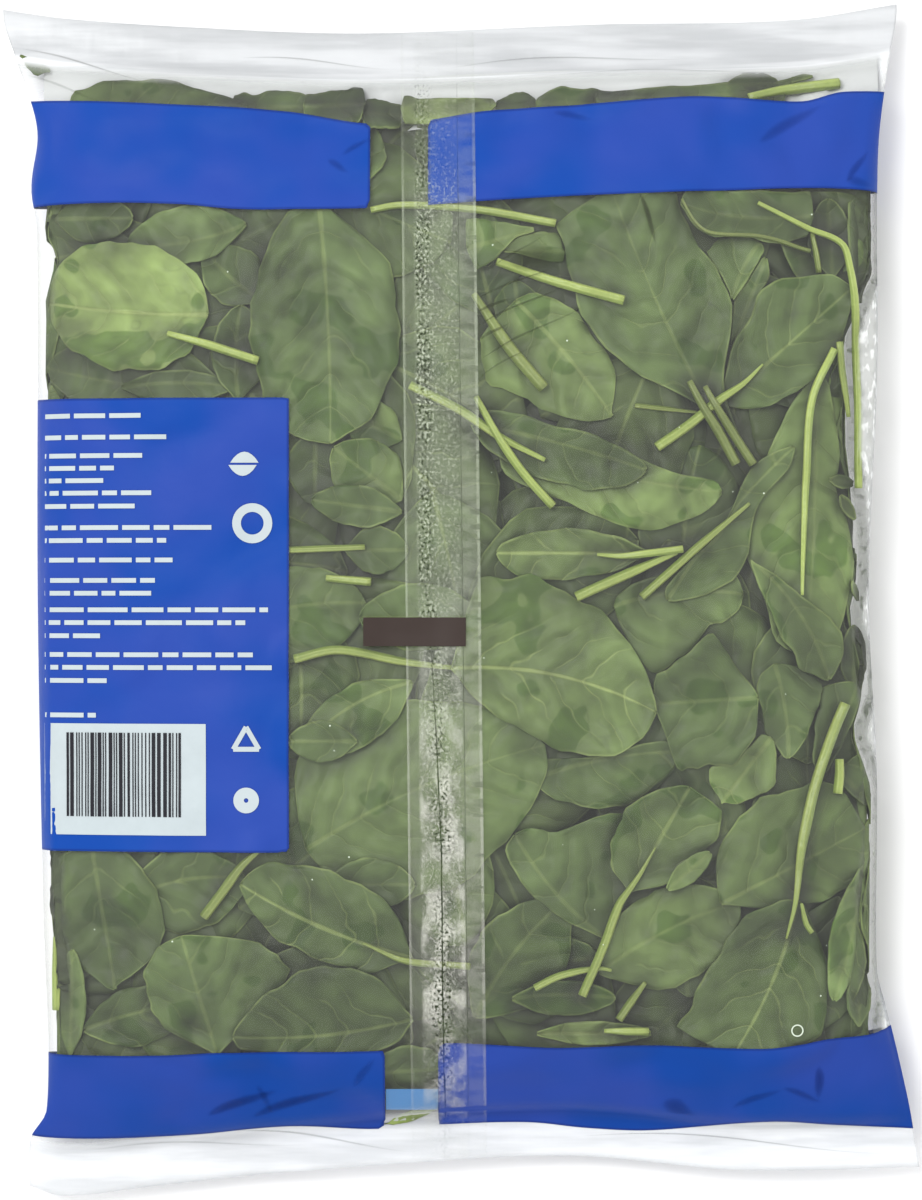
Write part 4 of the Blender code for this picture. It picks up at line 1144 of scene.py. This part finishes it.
def inside_print(x, y, upper):
    """Millimetres inside the nearest blue field, below 0 outside. The print runs round both folds."""
    def band(top, bottom, gap):
        tall = np.minimum(curve_through(top, x) - y, y - curve_through(bottom, x))
        beside = np.maximum(gap[0] - x, x - gap[1]) if upper else np.full_like(x, 9.0)
        return np.minimum(tall, beside)

    top_band = band(TOP_BAND_UPPER, TOP_BAND_LOWER, TOP_BAND_GAP)
    bottom_band = band(BOTTOM_BAND_UPPER, BOTTOM_BAND_LOWER, BOTTOM_BAND_GAP)
    panel_right = PANEL_RIGHT if upper else PANEL_RIGHT_BELOW
    panel = np.minimum(np.minimum(PANEL_TOP - y, y - PANEL_BOTTOM), panel_right - x)
    return np.maximum(np.maximum(top_band, bottom_band), panel)


# %% Make the film
SEAL_FADE_ABOVE, SEAL_FADE_BELOW = 3, 12    # how far the seals' white reaches into the pillow
# Where the painted light on bare film begins, in millimetres beyond the heap's right side, above and below.
PAINTED_LIGHT_START_ABOVE, PAINTED_LIGHT_START_BELOW = 2.4, 0
CLEAN_FILM, FOLDED_FILM = (0.9, 0.92, 0.9, 1), (0.5, 0.52, 0.54, 1)
FROST_DARK, FROST_LIGHT = (0.74, 0.76, 0.78, 1), (0.88, 0.9, 0.92, 1)


def film_piece(material):
    names = ("print", "seal", "fold", "bare")
    mesh, upper, lower, x, y = pillow(130, 170, film_top, floor_height, keep=names)
    keys = [mesh.verts.layers.float[name] for name in names]
    below, above = from_ends(x, y)
    inward = np.minimum(below, above) - SEAL_WIDTH
    fold = np.clip(1 - (1 - np.abs(across(x, y))) * 110, 0, 1)
    beside = x - heap_sides(y)[1]
    for verts, is_upper, fade, start in ((upper, True, SEAL_FADE_ABOVE, PAINTED_LIGHT_START_ABOVE),
                                         (lower, False, SEAL_FADE_BELOW, PAINTED_LIGHT_START_BELOW)):
        blue = inside_print(x, y, is_upper)
        seal = np.clip(1 - inward / fade, 0, 1)
        bare = np.clip((beside - start) / 1.2, 0, 1)
        for vert, *values in zip(verts, blue, seal, fold, bare):
            for key, value in zip(keys, values):
                vert[key] = float(value)
    return finish_piece("film", mesh, material)


def film_finish():
    f = Finish("clear_film")
    seal, fold = f.value("seal"), f.value("fold")
    crinkle = f.noise(7, 2, f.place((1, 0.35, 1)))
    wrinkle = f.noise(6, 3, f.place((0.12, 1, 1)))
    top = f.lengthwise().ramp(118, 146)
    bare = f.value("bare")
    # Where no leaf lies behind it, the film is painted whiter and denser, with specks: painted light on the
    # shaded gap beside the heap.
    clear = 0.04 + 0.2 * fold + bare * (0.42 + 0.5 * f.noise(3, 1).ramp(0.5, 0.7))
    sealed = 0.35 + 0.5 * wrinkle + 0.25 * top
    alpha = f.between(seal, clear, sealed).limited()
    clean = f.mix(fold, CLEAN_FILM, FOLDED_FILM)
    frost = f.mix(wrinkle.ramp(0.35, 0.6), FROST_DARK, FROST_LIGHT)
    colour = f.mix(seal, clean, f.scaled(frost, 1 + 0.12 * top - 0.41 * top * seal.ramp(0.8, 1)))
    relief = crinkle * 0.8 + wrinkle * seal
    f.surface(Base_Color=colour, Alpha=alpha, Roughness=0.3, Normal=f.bump(relief, 0.6),
              Specular_IOR_Level=0.2)
    return f.material


film = film_piece(film_finish())


# %% Lay the blue ink on it
INK_LIFT, LEAST_INK_HEIGHT = 0.1, 0.01
BLUE, BLUE_PALE, BLUE_EDGE = (0.005, 0.055, 0.32, 1), (0.022, 0.06, 0.335, 1), (0.008, 0.024, 0.15, 1)


def print_piece(material):
    """The part of the film that is near a blue field, copied as a layer of ink on the outer side."""
    mesh = bmesh.new()
    mesh.from_mesh(film.data)
    key = mesh.verts.layers.float["print"]
    for vert in mesh.verts:
        vert.co += vert.normal * INK_LIFT * MM
        vert.co.z = max(vert.co.z, LEAST_INK_HEIGHT * MM)
    unprinted = [face for face in mesh.faces if max(vert[key] for vert in face.verts) < -0.5]
    bmesh.ops.delete(mesh, geom=unprinted, context="FACES")
    finish_piece("print_blue", mesh, material)


def print_finish():
    f = Finish("blue_ink")
    blue = f.value("print")
    broad = f.noise(38, 2)
    edge = 1 - blue.ramp(0.3, 0.8)
    ink = f.mix(broad.ramp(0.35, 0.65), BLUE, BLUE_PALE)
    ink = f.scaled(ink, 1 - 0.12 * (0 - f.lengthwise()).ramp(80, 120))
    ink = f.mix(edge * 0.6, ink, BLUE_EDGE)
    relief = f.noise(14, 3) * 0.8
    f.surface(Base_Color=ink, Alpha=0.99 * blue.ramp(-0.08, 0.08), Roughness=0.5, Normal=f.bump(relief, 0.6),
              Specular_IOR_Level=0.08)
    return f.material


print_piece(print_finish())
film_mesh = bmesh.new()
film_mesh.from_mesh(film.data)
film_tree = BVHTree.FromBMesh(film_mesh)
film_mesh.free()


def on_film(x, y):
    """Height of the film's upper side, in millimetres."""
    hit = film_tree.ray_cast(Vector((x, y, RAY_START)) * MM, Vector((0, 0, -1)))[0]
    return hit.z / MM


def put_on_film(vert, x, y, lift):
    vert.co = Vector((x, y, on_film(x, y) + lift)) * MM


print("the film is", round(on_film(0, 0), 1), "mm over the floor in the middle")

# %% [markdown]
# ## Painted crease shadows and the pleat
# The shade in the film's creases is finer than the film's own mesh, so each crease's shade is painted on a
# narrow soft-edged dark strip laid on it. A strip of film behind the leaf tops closes the view between the
# two films at the top end.

# %% Painted shadows of the creases in the film
CREASE_LIFT = 0.25
CREASE_SHADOW, CREASE_SHADOW_ON_BLUE = (0.045, 0.05, 0.035, 1), (0.004, 0.014, 0.12, 1)
Crease = namedtuple("Crease", "start end wide dark")
CREASES = (
    Crease((-68, -138), (-49, -130.5), 3.0, 0.4), Crease((-56, -138.5), (-32, -130), 2.8, 0.4),
    Crease((-54.5, -129.5), (-50.5, -137), 2.0, 0.22), Crease((-28.6, -130), (-23.2, -121.8), 2.6, 0.2),
    Crease((54, -134.4), (62.5, -138), 5.0, 0.3), Crease((95.6, -124.6), (95.9, -133.8), 3.0, 0.35),
    Crease((72.5, -136), (86, -130.5), 2.2, 0.25), Crease((86, -130.5), (97, -134.5), 2.0, 0.25),
    Crease((-35.6, 117.2), (-29.9, 113.6), 2.2, 0.2), Crease((-31.6, 118.4), (-24, 123.4), 1.8, 0.2),
    Crease((79.4, 121.8), (96, 132.6), 3.4, 0.22), Crease((24.6, 130), (34.9, 128.4), 2.2, 0.18),
    Crease((103, 111.5), (109, 120.5), 2.2, 0.25), Crease((102.8, 112.4), (110, 110.8), 3.0, 0.2),
    Crease((3.7, 79.3), (26.2, 89.3), 0.7, 0.6), Crease((4.5, 72.5), (28.8, 84.2), 0.7, 0.6),
    Crease((5, 63.4), (33, 78.6), 0.7, 0.5), Crease((6.3, 86.5), (22.2, 97.2), 0.6, 0.4),
    Crease((4.2, 76), (14, 80.5), 1.0, 0.7), Crease((4.4, 68.5), (13, 73.5), 1.0, 0.6),
    Crease((5, 59), (19.8, 68), 0.6, 0.4), Crease((12.5, 89.6), (29, 91.6), 7.5, 0.5),
    Crease((47.4, 108), (52, 94.5), 1.6, 0.75),
    Crease((-117, 141), (-96, 133.5), 0.8, 0.25), Crease((-119, 148.5), (-84, 139.5), 0.6, 0.3),
    Crease((-60, 146), (-18, 143.6), 0.5, 0.25), Crease((-4, 143), (66, 147.5), 0.5, 0.25),
    Crease((20, 140), (98, 143), 0.5, 0.2), Crease((30, -144.6), (118, -147.5), 0.5, 0.3),
    Crease((-62, -142.6), (-12, -147.8), 0.6, 0.3), Crease((-100, -148), (-40, -145.4), 0.5, 0.25),
)


def crease_shadow_finish():
    f = Finish("crease_shadow")
    blue = f.value("print")
    # Painted shadow: near black on clear film, deep blue on the print.
    colour = f.mix(blue.ramp(-1, 1), CREASE_SHADOW, CREASE_SHADOW_ON_BLUE)
    f.surface(Base_Color=colour, Alpha=f.value("dark"), Roughness=0.6, Specular_IOR_Level=0.1)
    return f.material


def crease_shadows_mesh():
    """Long thin lenses of painted crease shadow, darkest along the middle."""
    mesh = bmesh.new()
    dark_key, print_key = (mesh.verts.layers.float.new(name) for name in ("dark", "print"))
    for crease_shade in CREASES:
        (x0, y0), (x1, y1) = crease_shade.start, crease_shade.end
        length = math.hypot(x1 - x0, y1 - y0)
        for vert in bmesh.ops.create_grid(mesh, x_segments=16, y_segments=6, size=1)["verts"]:
            a, b = (vert.co.x + 1) / 2, vert.co.y
            swell = math.sin(math.pi * a ** 0.8) ** 0.7 if 0 < a < 1 else 0.0
            off = b * crease_shade.wide / 2 * (0.06 + swell) + 0.02 * length * math.sin(5 * a)
            x = x0 + (x1 - x0) * a - (y1 - y0) / length * off
            y = y0 + (y1 - y0) * a + (x1 - x0) / length * off
            vert[dark_key] = crease_shade.dark * swell * (1 - b * b)
            vert[print_key] = float(inside_print(np.array([x]), np.array([y]), True)[0])
            put_on_film(vert, x, y, CREASE_LIFT)
    return mesh


finish_piece("film_creases", crease_shadows_mesh(), crease_shadow_finish())

# %% The film behind the leaf tops
PLEAT_REACH = 112                           # half its width
PLEAT_TOP_DEPTH, PLEAT_DEPTH = 0.3, 2.0     # below the film at the seal, and from five millimetres on
PLEAT_CLEARANCE, LEAF_DEPTH = 0.4, 0.6      # below the leaves, and what a leaf or half a stalk takes up
NO_LEAF = 99.0

leaf_floor = np.full_like(BACK, NO_LEAF)
for piece in laid["behind"] + laid["pressed"] + laid["stems"]:
    np.minimum.at(leaf_floor, nearest_places(piece["x"], piece["y"]), piece["z"] - LEAF_DEPTH)
leaf_floor = -soften(spread(-leaf_floor, 3), 1.5)


def pleat_finish():
    f = Finish("film_pleat")
    white = f.scaled((0.545, 0.56, 0.555), 0.9 + 0.2 * f.noise(9, 3, f.place((0.3, 1, 1))))
    f.surface(Base_Color=white, Roughness=0.6, Specular_IOR_Level=0.1)
    return f.material


def pleat_mesh():
    """Above the leaves the two films lie close together. This strip runs from the seal to the blue print."""
    mesh = bmesh.new()
    for vert in bmesh.ops.create_grid(mesh, x_segments=90, y_segments=8, size=1)["verts"]:
        x, b = np.array([vert.co.x * PLEAT_REACH]), (vert.co.y + 1) / 2
        high, low = ends(x)[1] - SEAL_WIDTH + 1, curve_through(TOP_BAND_UPPER, x) - 2
        y = low + (high - low) * b
        depth = PLEAT_TOP_DEPTH + (PLEAT_DEPTH - PLEAT_TOP_DEPTH) * np.minimum(1, (high - y) / 5)
        z = np.minimum(back_height(x, y) - depth, read_map(leaf_floor, x, y) - PLEAT_CLEARANCE)
        vert.co = Vector((float(x[0]), float(y[0]), float(z[0]))) * MM
    return mesh


finish_piece("film_pleat", pleat_mesh(), pleat_finish())

# %% [markdown]
# ## The lap seam
# The tube of film is closed down the back by a lap: a strip of two films pressed together, whitish and
# dotted by the jaws that sealed it. It is a flat grid laid on the film, a little proud of it.

# %% Lay strips on the film
def draped(mesh, columns, rows, place, lift):
    """Adds a grid to the mesh, laid on the film. place(a, b) gives x and y for a and b from 0 to 1.

    lift is a height over the film, or a function of x and y. Returns each point with its a."""
    made = []
    for vert in bmesh.ops.create_grid(mesh, x_segments=columns, y_segments=rows, size=1)["verts"]:
        a, b = (vert.co.x + 1) / 2, (vert.co.y + 1) / 2
        x, y = place(a, b)
        put_on_film(vert, x, y, lift(x, y) if callable(lift) else lift)
        made.append((vert, a))
    return made


# %% Where the seam lies
SEAM_TOP, SEAM_BOTTOM = (-16.2, 3.4), (-13.1, 7.0)
SEAM_END_ROOM, SEAM_LIFT, SEAM_WAVE, SEAM_THICKNESS = 0.7, 0.55, 0.12, 0.12
LAP_GREEN, LAP_WHITE, LAP_DARK = (0.77, 0.84, 0.66, 1), (0.82, 0.82, 0.74, 1), (0.03, 0.04, 0.02, 1)


def seam_place(a, b):
    left = SEAM_BOTTOM[0] + (SEAM_TOP[0] - SEAM_BOTTOM[0]) * b
    right = SEAM_BOTTOM[1] + (SEAM_TOP[1] - SEAM_BOTTOM[1]) * b
    x = left + (right - left) * a
    low, high = (float(value) for value in ends(x))
    return x, low + SEAM_END_ROOM + (high - low - 2 * SEAM_END_ROOM) * b


def seam_finish():
    f = Finish("lap_seam_film")
    # share is 0 at the lap's left edge and 1 at its right. low is 0 in the upper part, 1 in the lower third.
    share = f.value("across")
    along = f.lengthwise()
    low = (0 - along).ramp(-30, 70)
    # A line wanders down the pressed strip.
    drift = share - 0.24 - 0.2 * low - 0.08 * (f.noise(40, 2, f.place((0, 1, 0))) - 0.5)
    near = 1 - drift.size().ramp(0.02, 0.26)
    pressed = share.ramp(0.14, 0.2) * (1 - share.ramp(0.72, 0.76))
    # The jaws left dark dots, white flecks and short dashes.
    foam = f.noise(0.7, 1, f.place((1, 0.8, 0)))
    dash = f.noise(4, 1, f.place((0.2, 1.6, 0))).ramp(0.55, 0.64) * share.ramp(0.82, 0.9)
    patch = f.noise(16, 3).ramp(0.3, 0.65)
    dots = (0 - foam).ramp(-0.44, -0.38) * pressed * (0.1 + near * (0.3 + 0.7 * patch))
    flecks = foam.ramp(0.54, 0.62) * pressed * (0.35 + 0.65 * near * patch)
    # Round them are milky patches, the lines that bound the strip, the folded margin and the free edges.
    milky = pressed * f.noise(6, 3, f.place((1, 0.6, 1))).ramp(0.42, 0.62) * (0.3 + 0.7 * low)
    line = (1 - drift.size().ramp(0.003, 0.016)) * (0.5 + 0.5 * f.noise(5, 2).ramp(0.35, 0.5))
    line = line * (0.3 + 0.7 * low) + (1 - (share - 0.76).size().ramp(0.003, 0.012)) * 0.7
    folded = share.ramp(0.74, 0.78) * f.noise(4, 2, f.place((0.4, 1.3, 0))).ramp(0.35, 0.6)
    edge = share.ramp(0.95, 0.975) + (1 - share.ramp(0.01, 0.045))
    haze = 0.016 + 0.03 * f.noise(8, 3) + 0.2 * milky * low + 0.04 * milky + 0.05 * folded
    alpha = haze + 0.12 * edge + 0.26 * flecks + 0.36 * dots + 0.22 * line + 0.08 * dash
    alpha = alpha * (1 - 0.55 * along.size().ramp(103, 119) - 0.3 * along.size().ramp(134, 142))
    colour = f.mix(low, LAP_GREEN, LAP_WHITE)
    colour = f.mix((dots * 1.3 + line * 1.2 + 0.6 * dash).limited(), colour, LAP_DARK)
    relief = foam * pressed * 0.2 + f.noise(5, 3, f.place((1, 0.5, 1)))
    f.surface(Base_Color=colour, Alpha=alpha.limited(), Roughness=0.4, Normal=f.bump(relief, 0.4),
              Specular_IOR_Level=0.2)
    return f.material


def seam_piece():
    mesh = bmesh.new()
    key = mesh.verts.layers.float.new("across")
    chance = random.Random(4)
    waves = [(chance.uniform(6, 30), chance.uniform(0, 6)) for _ in range(4)]

    def lift(x, y):
        return SEAM_LIFT + SEAM_WAVE * sum(math.sin(y / size + start) for size, start in waves)

    for vert, a in draped(mesh, 10, 170, seam_place, lift):
        vert[key] = a
    piece = finish_piece("seam", mesh, seam_finish())
    thickness = piece.modifiers.new("lap thickness", "SOLIDIFY")
    thickness.thickness = SEAM_THICKNESS * MM


seam_piece()

# %% [markdown]
# ## Print on the film
# What is printed on the blue fields in white, and the dark mark that a packing machine reads, are thin
# patches laid on the film. They are plain shapes: rows of short bars, a white box with stripes, a ring, a
# leaf, a triangle and a disc.

# %% Flat inks
PATCH_LIFT, PATCH_STEP = 0.34, 2.0


def ink_finish(name, colour):
    f = Finish(name)
    worn = f.noise(3, 3)
    f.surface(Base_Color=f.scaled(colour, 0.94 + 0.1 * worn), Roughness=0.5, Specular_IOR_Level=0.1)
    return f.material


def box(mesh, left, right, low, high, lift=PATCH_LIFT):
    columns = max(1, math.ceil((right - left) / PATCH_STEP))
    rows = max(1, math.ceil((high - low) / PATCH_STEP))
    draped(mesh, columns, rows, lambda a, b: (left + (right - left) * a, low + (high - low) * b), lift)


def box_piece(name, edges, lift, material):
    mesh = bmesh.new()
    box(mesh, *edges, lift)
    finish_piece(name, mesh, material)


def ring(mesh, x, y, inner, outer, lift=PATCH_LIFT):
    made = bmesh.ops.create_circle(mesh, segments=40, radius=outer)["verts"]
    edges = list(dict.fromkeys(edge for vert in made for edge in vert.link_edges))
    grown = bmesh.ops.extrude_edge_only(mesh, edges=edges)["geom"]
    for vert in (part for part in grown if isinstance(part, bmesh.types.BMVert)):
        vert.co *= inner / outer
        made.append(vert)
    for vert in made:
        put_on_film(vert, x + vert.co.x, y + vert.co.y, lift)


# %% White marks
ROWS = (48.9, 43.2, 38.3, 35.0, 31.7, 28.4, 24.9, 19.2, 15.8, 10.6, 5.2, 1.8, -2.6, -6.0, -9.5, -14.5,
        -17.9, -21.4, -30.6)
ROW_ENDS = (-82, -78, -84, -92, -94, -82, -86, -66, -78, -76, -81, -82, -51, -57, -94, -55, -50, -94, -97)
ROW_START, BAR_HALF_HEIGHT, BAR_GAP = -111.0, 0.62, 1.1
WHITE_BOX, WHITE_BOX_LIFT = (-111.2, -67.5, -62.4, -32.8), 0.3
RING_PLACE, RING_RADII = (-55.2, 20.3), (3.0, 5.3)
DISC_PLACE, DISC_RADII = (-56.8, -53.0), (0.6, 3.4)
TRIANGLE_PLACE, TRIANGLE_RADIUS, TRIANGLE_BAR = (-56.8, -37.5), 5.2, 1.3 / 9
LEAF_SIGN_PLACE, LEAF_SIGN_LENGTH, LEAF_SIGN_HALF = (-57.5, 36), 7.5, 2.9
STRIPES_LEFT, STRIPES_RIGHT, STRIPES_LOW, STRIPES_HIGH, STRIPE_LIFT = -105.0, -74.5, -57.5, -35.2, 0.45


def white_marks():
    mesh = bmesh.new()
    chance = random.Random(12)
    for y, end in zip(ROWS, ROW_ENDS):
        x = ROW_START
        while x < end - 2:
            word = min(chance.uniform(3.5, 11), end - x)
            box(mesh, x, x + word, y - BAR_HALF_HEIGHT, y + BAR_HALF_HEIGHT)
            x += word + BAR_GAP
    box(mesh, *WHITE_BOX, WHITE_BOX_LIFT)
    ring(mesh, *RING_PLACE, *RING_RADII)
    ring(mesh, *DISC_PLACE, *DISC_RADII)
    corners = []
    for degrees in (90, 210, 330, 450):
        angle = math.radians(degrees)
        corners.append((TRIANGLE_PLACE[0] + TRIANGLE_RADIUS * math.cos(angle),
                        TRIANGLE_PLACE[1] + TRIANGLE_RADIUS * math.sin(angle)))
    for (ax, ay), (bx, by) in zip(corners, corners[1:]):
        draped(mesh, 6, 1, lambda a, b: (
            ax + (bx - ax) * (0.12 + 0.76 * a) - (by - ay) * TRIANGLE_BAR * b,
            ay + (by - ay) * (0.12 + 0.76 * a) - (ax - bx) * TRIANGLE_BAR * b,
        ), PATCH_LIFT)
    for half in (-1, 1):
        draped(mesh, 8, 3, lambda a, b: (
            LEAF_SIGN_PLACE[0] + LEAF_SIGN_LENGTH * (a - 0.5) + half * 0.25,
            LEAF_SIGN_PLACE[1] + half * (0.3 + LEAF_SIGN_HALF * b * math.sin(math.pi * a) ** 0.8),
        ), PATCH_LIFT)
    return mesh


def stripes():
    mesh = bmesh.new()
    chance = random.Random(7)
    x = STRIPES_LEFT
    while x < STRIPES_RIGHT:
        wide = chance.choice((0.33, 0.33, 0.66, 0.99))
        box(mesh, x, x + wide, STRIPES_LOW, STRIPES_HIGH, STRIPE_LIFT)
        x += wide + chance.choice((0.33, 0.45, 0.66))
    return mesh


finish_piece("print_white", white_marks(), ink_finish("white_ink", (0.46, 0.52, 0.54)))
finish_piece("print_black", stripes(), ink_finish("black_ink", (0.02, 0.02, 0.025)))

# %% The dark mark on the seam
EYE_MARK, EYE_MARK_LIFT = (-25.8, 1.3, -12.2, -4.6), 0.95
box_piece("eye_mark", EYE_MARK, EYE_MARK_LIFT, ink_finish("brown_ink", (0.043, 0.031, 0.027)))

# %% The far print in the gap between the bottom bands, painted a lighter blue: painted light that comes in by the gap
FAR_PRINT, FAR_PRINT_LIFT = (-20.1, -5.0, -136.6, -130.6), -0.5
# The far film's print, with the light from the gap painted into its lighter blue.
FAR_INK_PAINTED_LIGHT = ink_finish("far_blue_ink", (0.055, 0.19, 0.42))
box_piece("print_far", FAR_PRINT, FAR_PRINT_LIFT, FAR_INK_PAINTED_LIGHT)

# %% Drops and a bubble on the film, drawn as pale specks and a ring: painted glints
DROPS, DROP_LIFT = 26, 0.15
BUBBLE_PLACE, BUBBLE_RADII, BUBBLE_LIFT = (89.6, -114.7), (1.3, 1.65), 0.12


def painted_glint_drops():
    mesh = bmesh.new()
    chance = random.Random(31)
    ring(mesh, *BUBBLE_PLACE, *BUBBLE_RADII, BUBBLE_LIFT)
    for _ in range(DROPS):
        x, y, size = chance.uniform(-100, 98), chance.uniform(-112, 104), chance.uniform(0.12, 0.24)
        if inside_print(np.array([x]), np.array([y]), True)[0] < -2:
            made = bmesh.ops.create_circle(mesh, cap_ends=True, segments=8, radius=size)["verts"]
            for vert in made:
                vert.co = Vector((x + vert.co.x, y + vert.co.y, on_film(x, y) + DROP_LIFT)) * MM
    return mesh


# The drops and the bubble are pale flat ink: painted glints on the film.
finish_piece("film_drops", painted_glint_drops(), ink_finish("drop_white", (0.6, 0.68, 0.56)))

# %% [markdown]
# ## Light, floor and camera
# Soft light from all round shows the leaves through the film without hard shadows. A white sky does most of
# it, and a wide lamp adds a little direction. The camera looks straight down through a long lens.

# %% Floor
FLOOR_HALF = 3      # metres
floor_mesh = bmesh.new()
bmesh.ops.create_grid(floor_mesh, x_segments=1, y_segments=1, size=FLOOR_HALF)
floor_data = bpy.data.meshes.new("floor")
floor_mesh.to_mesh(floor_data)
floor_mesh.free()
white_floor = Finish("white_floor")
white_floor.surface(Base_Color=(0.95, 0.95, 0.95, 1), Roughness=0.9, Specular_IOR_Level=0.1)
floor_data.materials.append(white_floor.material)
floor = bpy.data.objects.new("floor", floor_data)
bpy.context.scene.collection.objects.link(floor)

# %% Light
sky = bpy.data.worlds.new("sky")
sky.use_nodes = True
sky.node_tree.nodes["Background"].inputs["Color"].default_value = (1, 1, 1, 1)
sky.node_tree.nodes["Background"].inputs["Strength"].default_value = 1.0
bpy.context.scene.world = sky

LAMP_PLACE, LAMP_SIZE, LAMP_POWER = Vector((-0.6, 0.55, 1.8)), 0.7, 22
light = bpy.data.lights.new("wide_lamp", "AREA")
light.size, light.energy = LAMP_SIZE, LAMP_POWER
lamp = bpy.data.objects.new("wide_lamp", light)
lamp.location = LAMP_PLACE
lamp.rotation_mode = "QUATERNION"
lamp.rotation_quaternion = (-LAMP_PLACE).to_track_quat("-Z", "Y")
bpy.context.scene.collection.objects.link(lamp)

# %% Camera
VIEW_DISTANCE = 1.787
VIEW_LEVEL = 0.02
view = bpy.data.cameras.new("camera")
view.lens, view.sensor_width = 200, 36
camera = bpy.data.objects.new("camera", view)
camera.location = (0, 0, VIEW_LEVEL + VIEW_DISTANCE)
bpy.context.scene.collection.objects.link(camera)
bpy.context.scene.camera = camera
bpy.context.scene.view_settings.view_transform = "Standard"
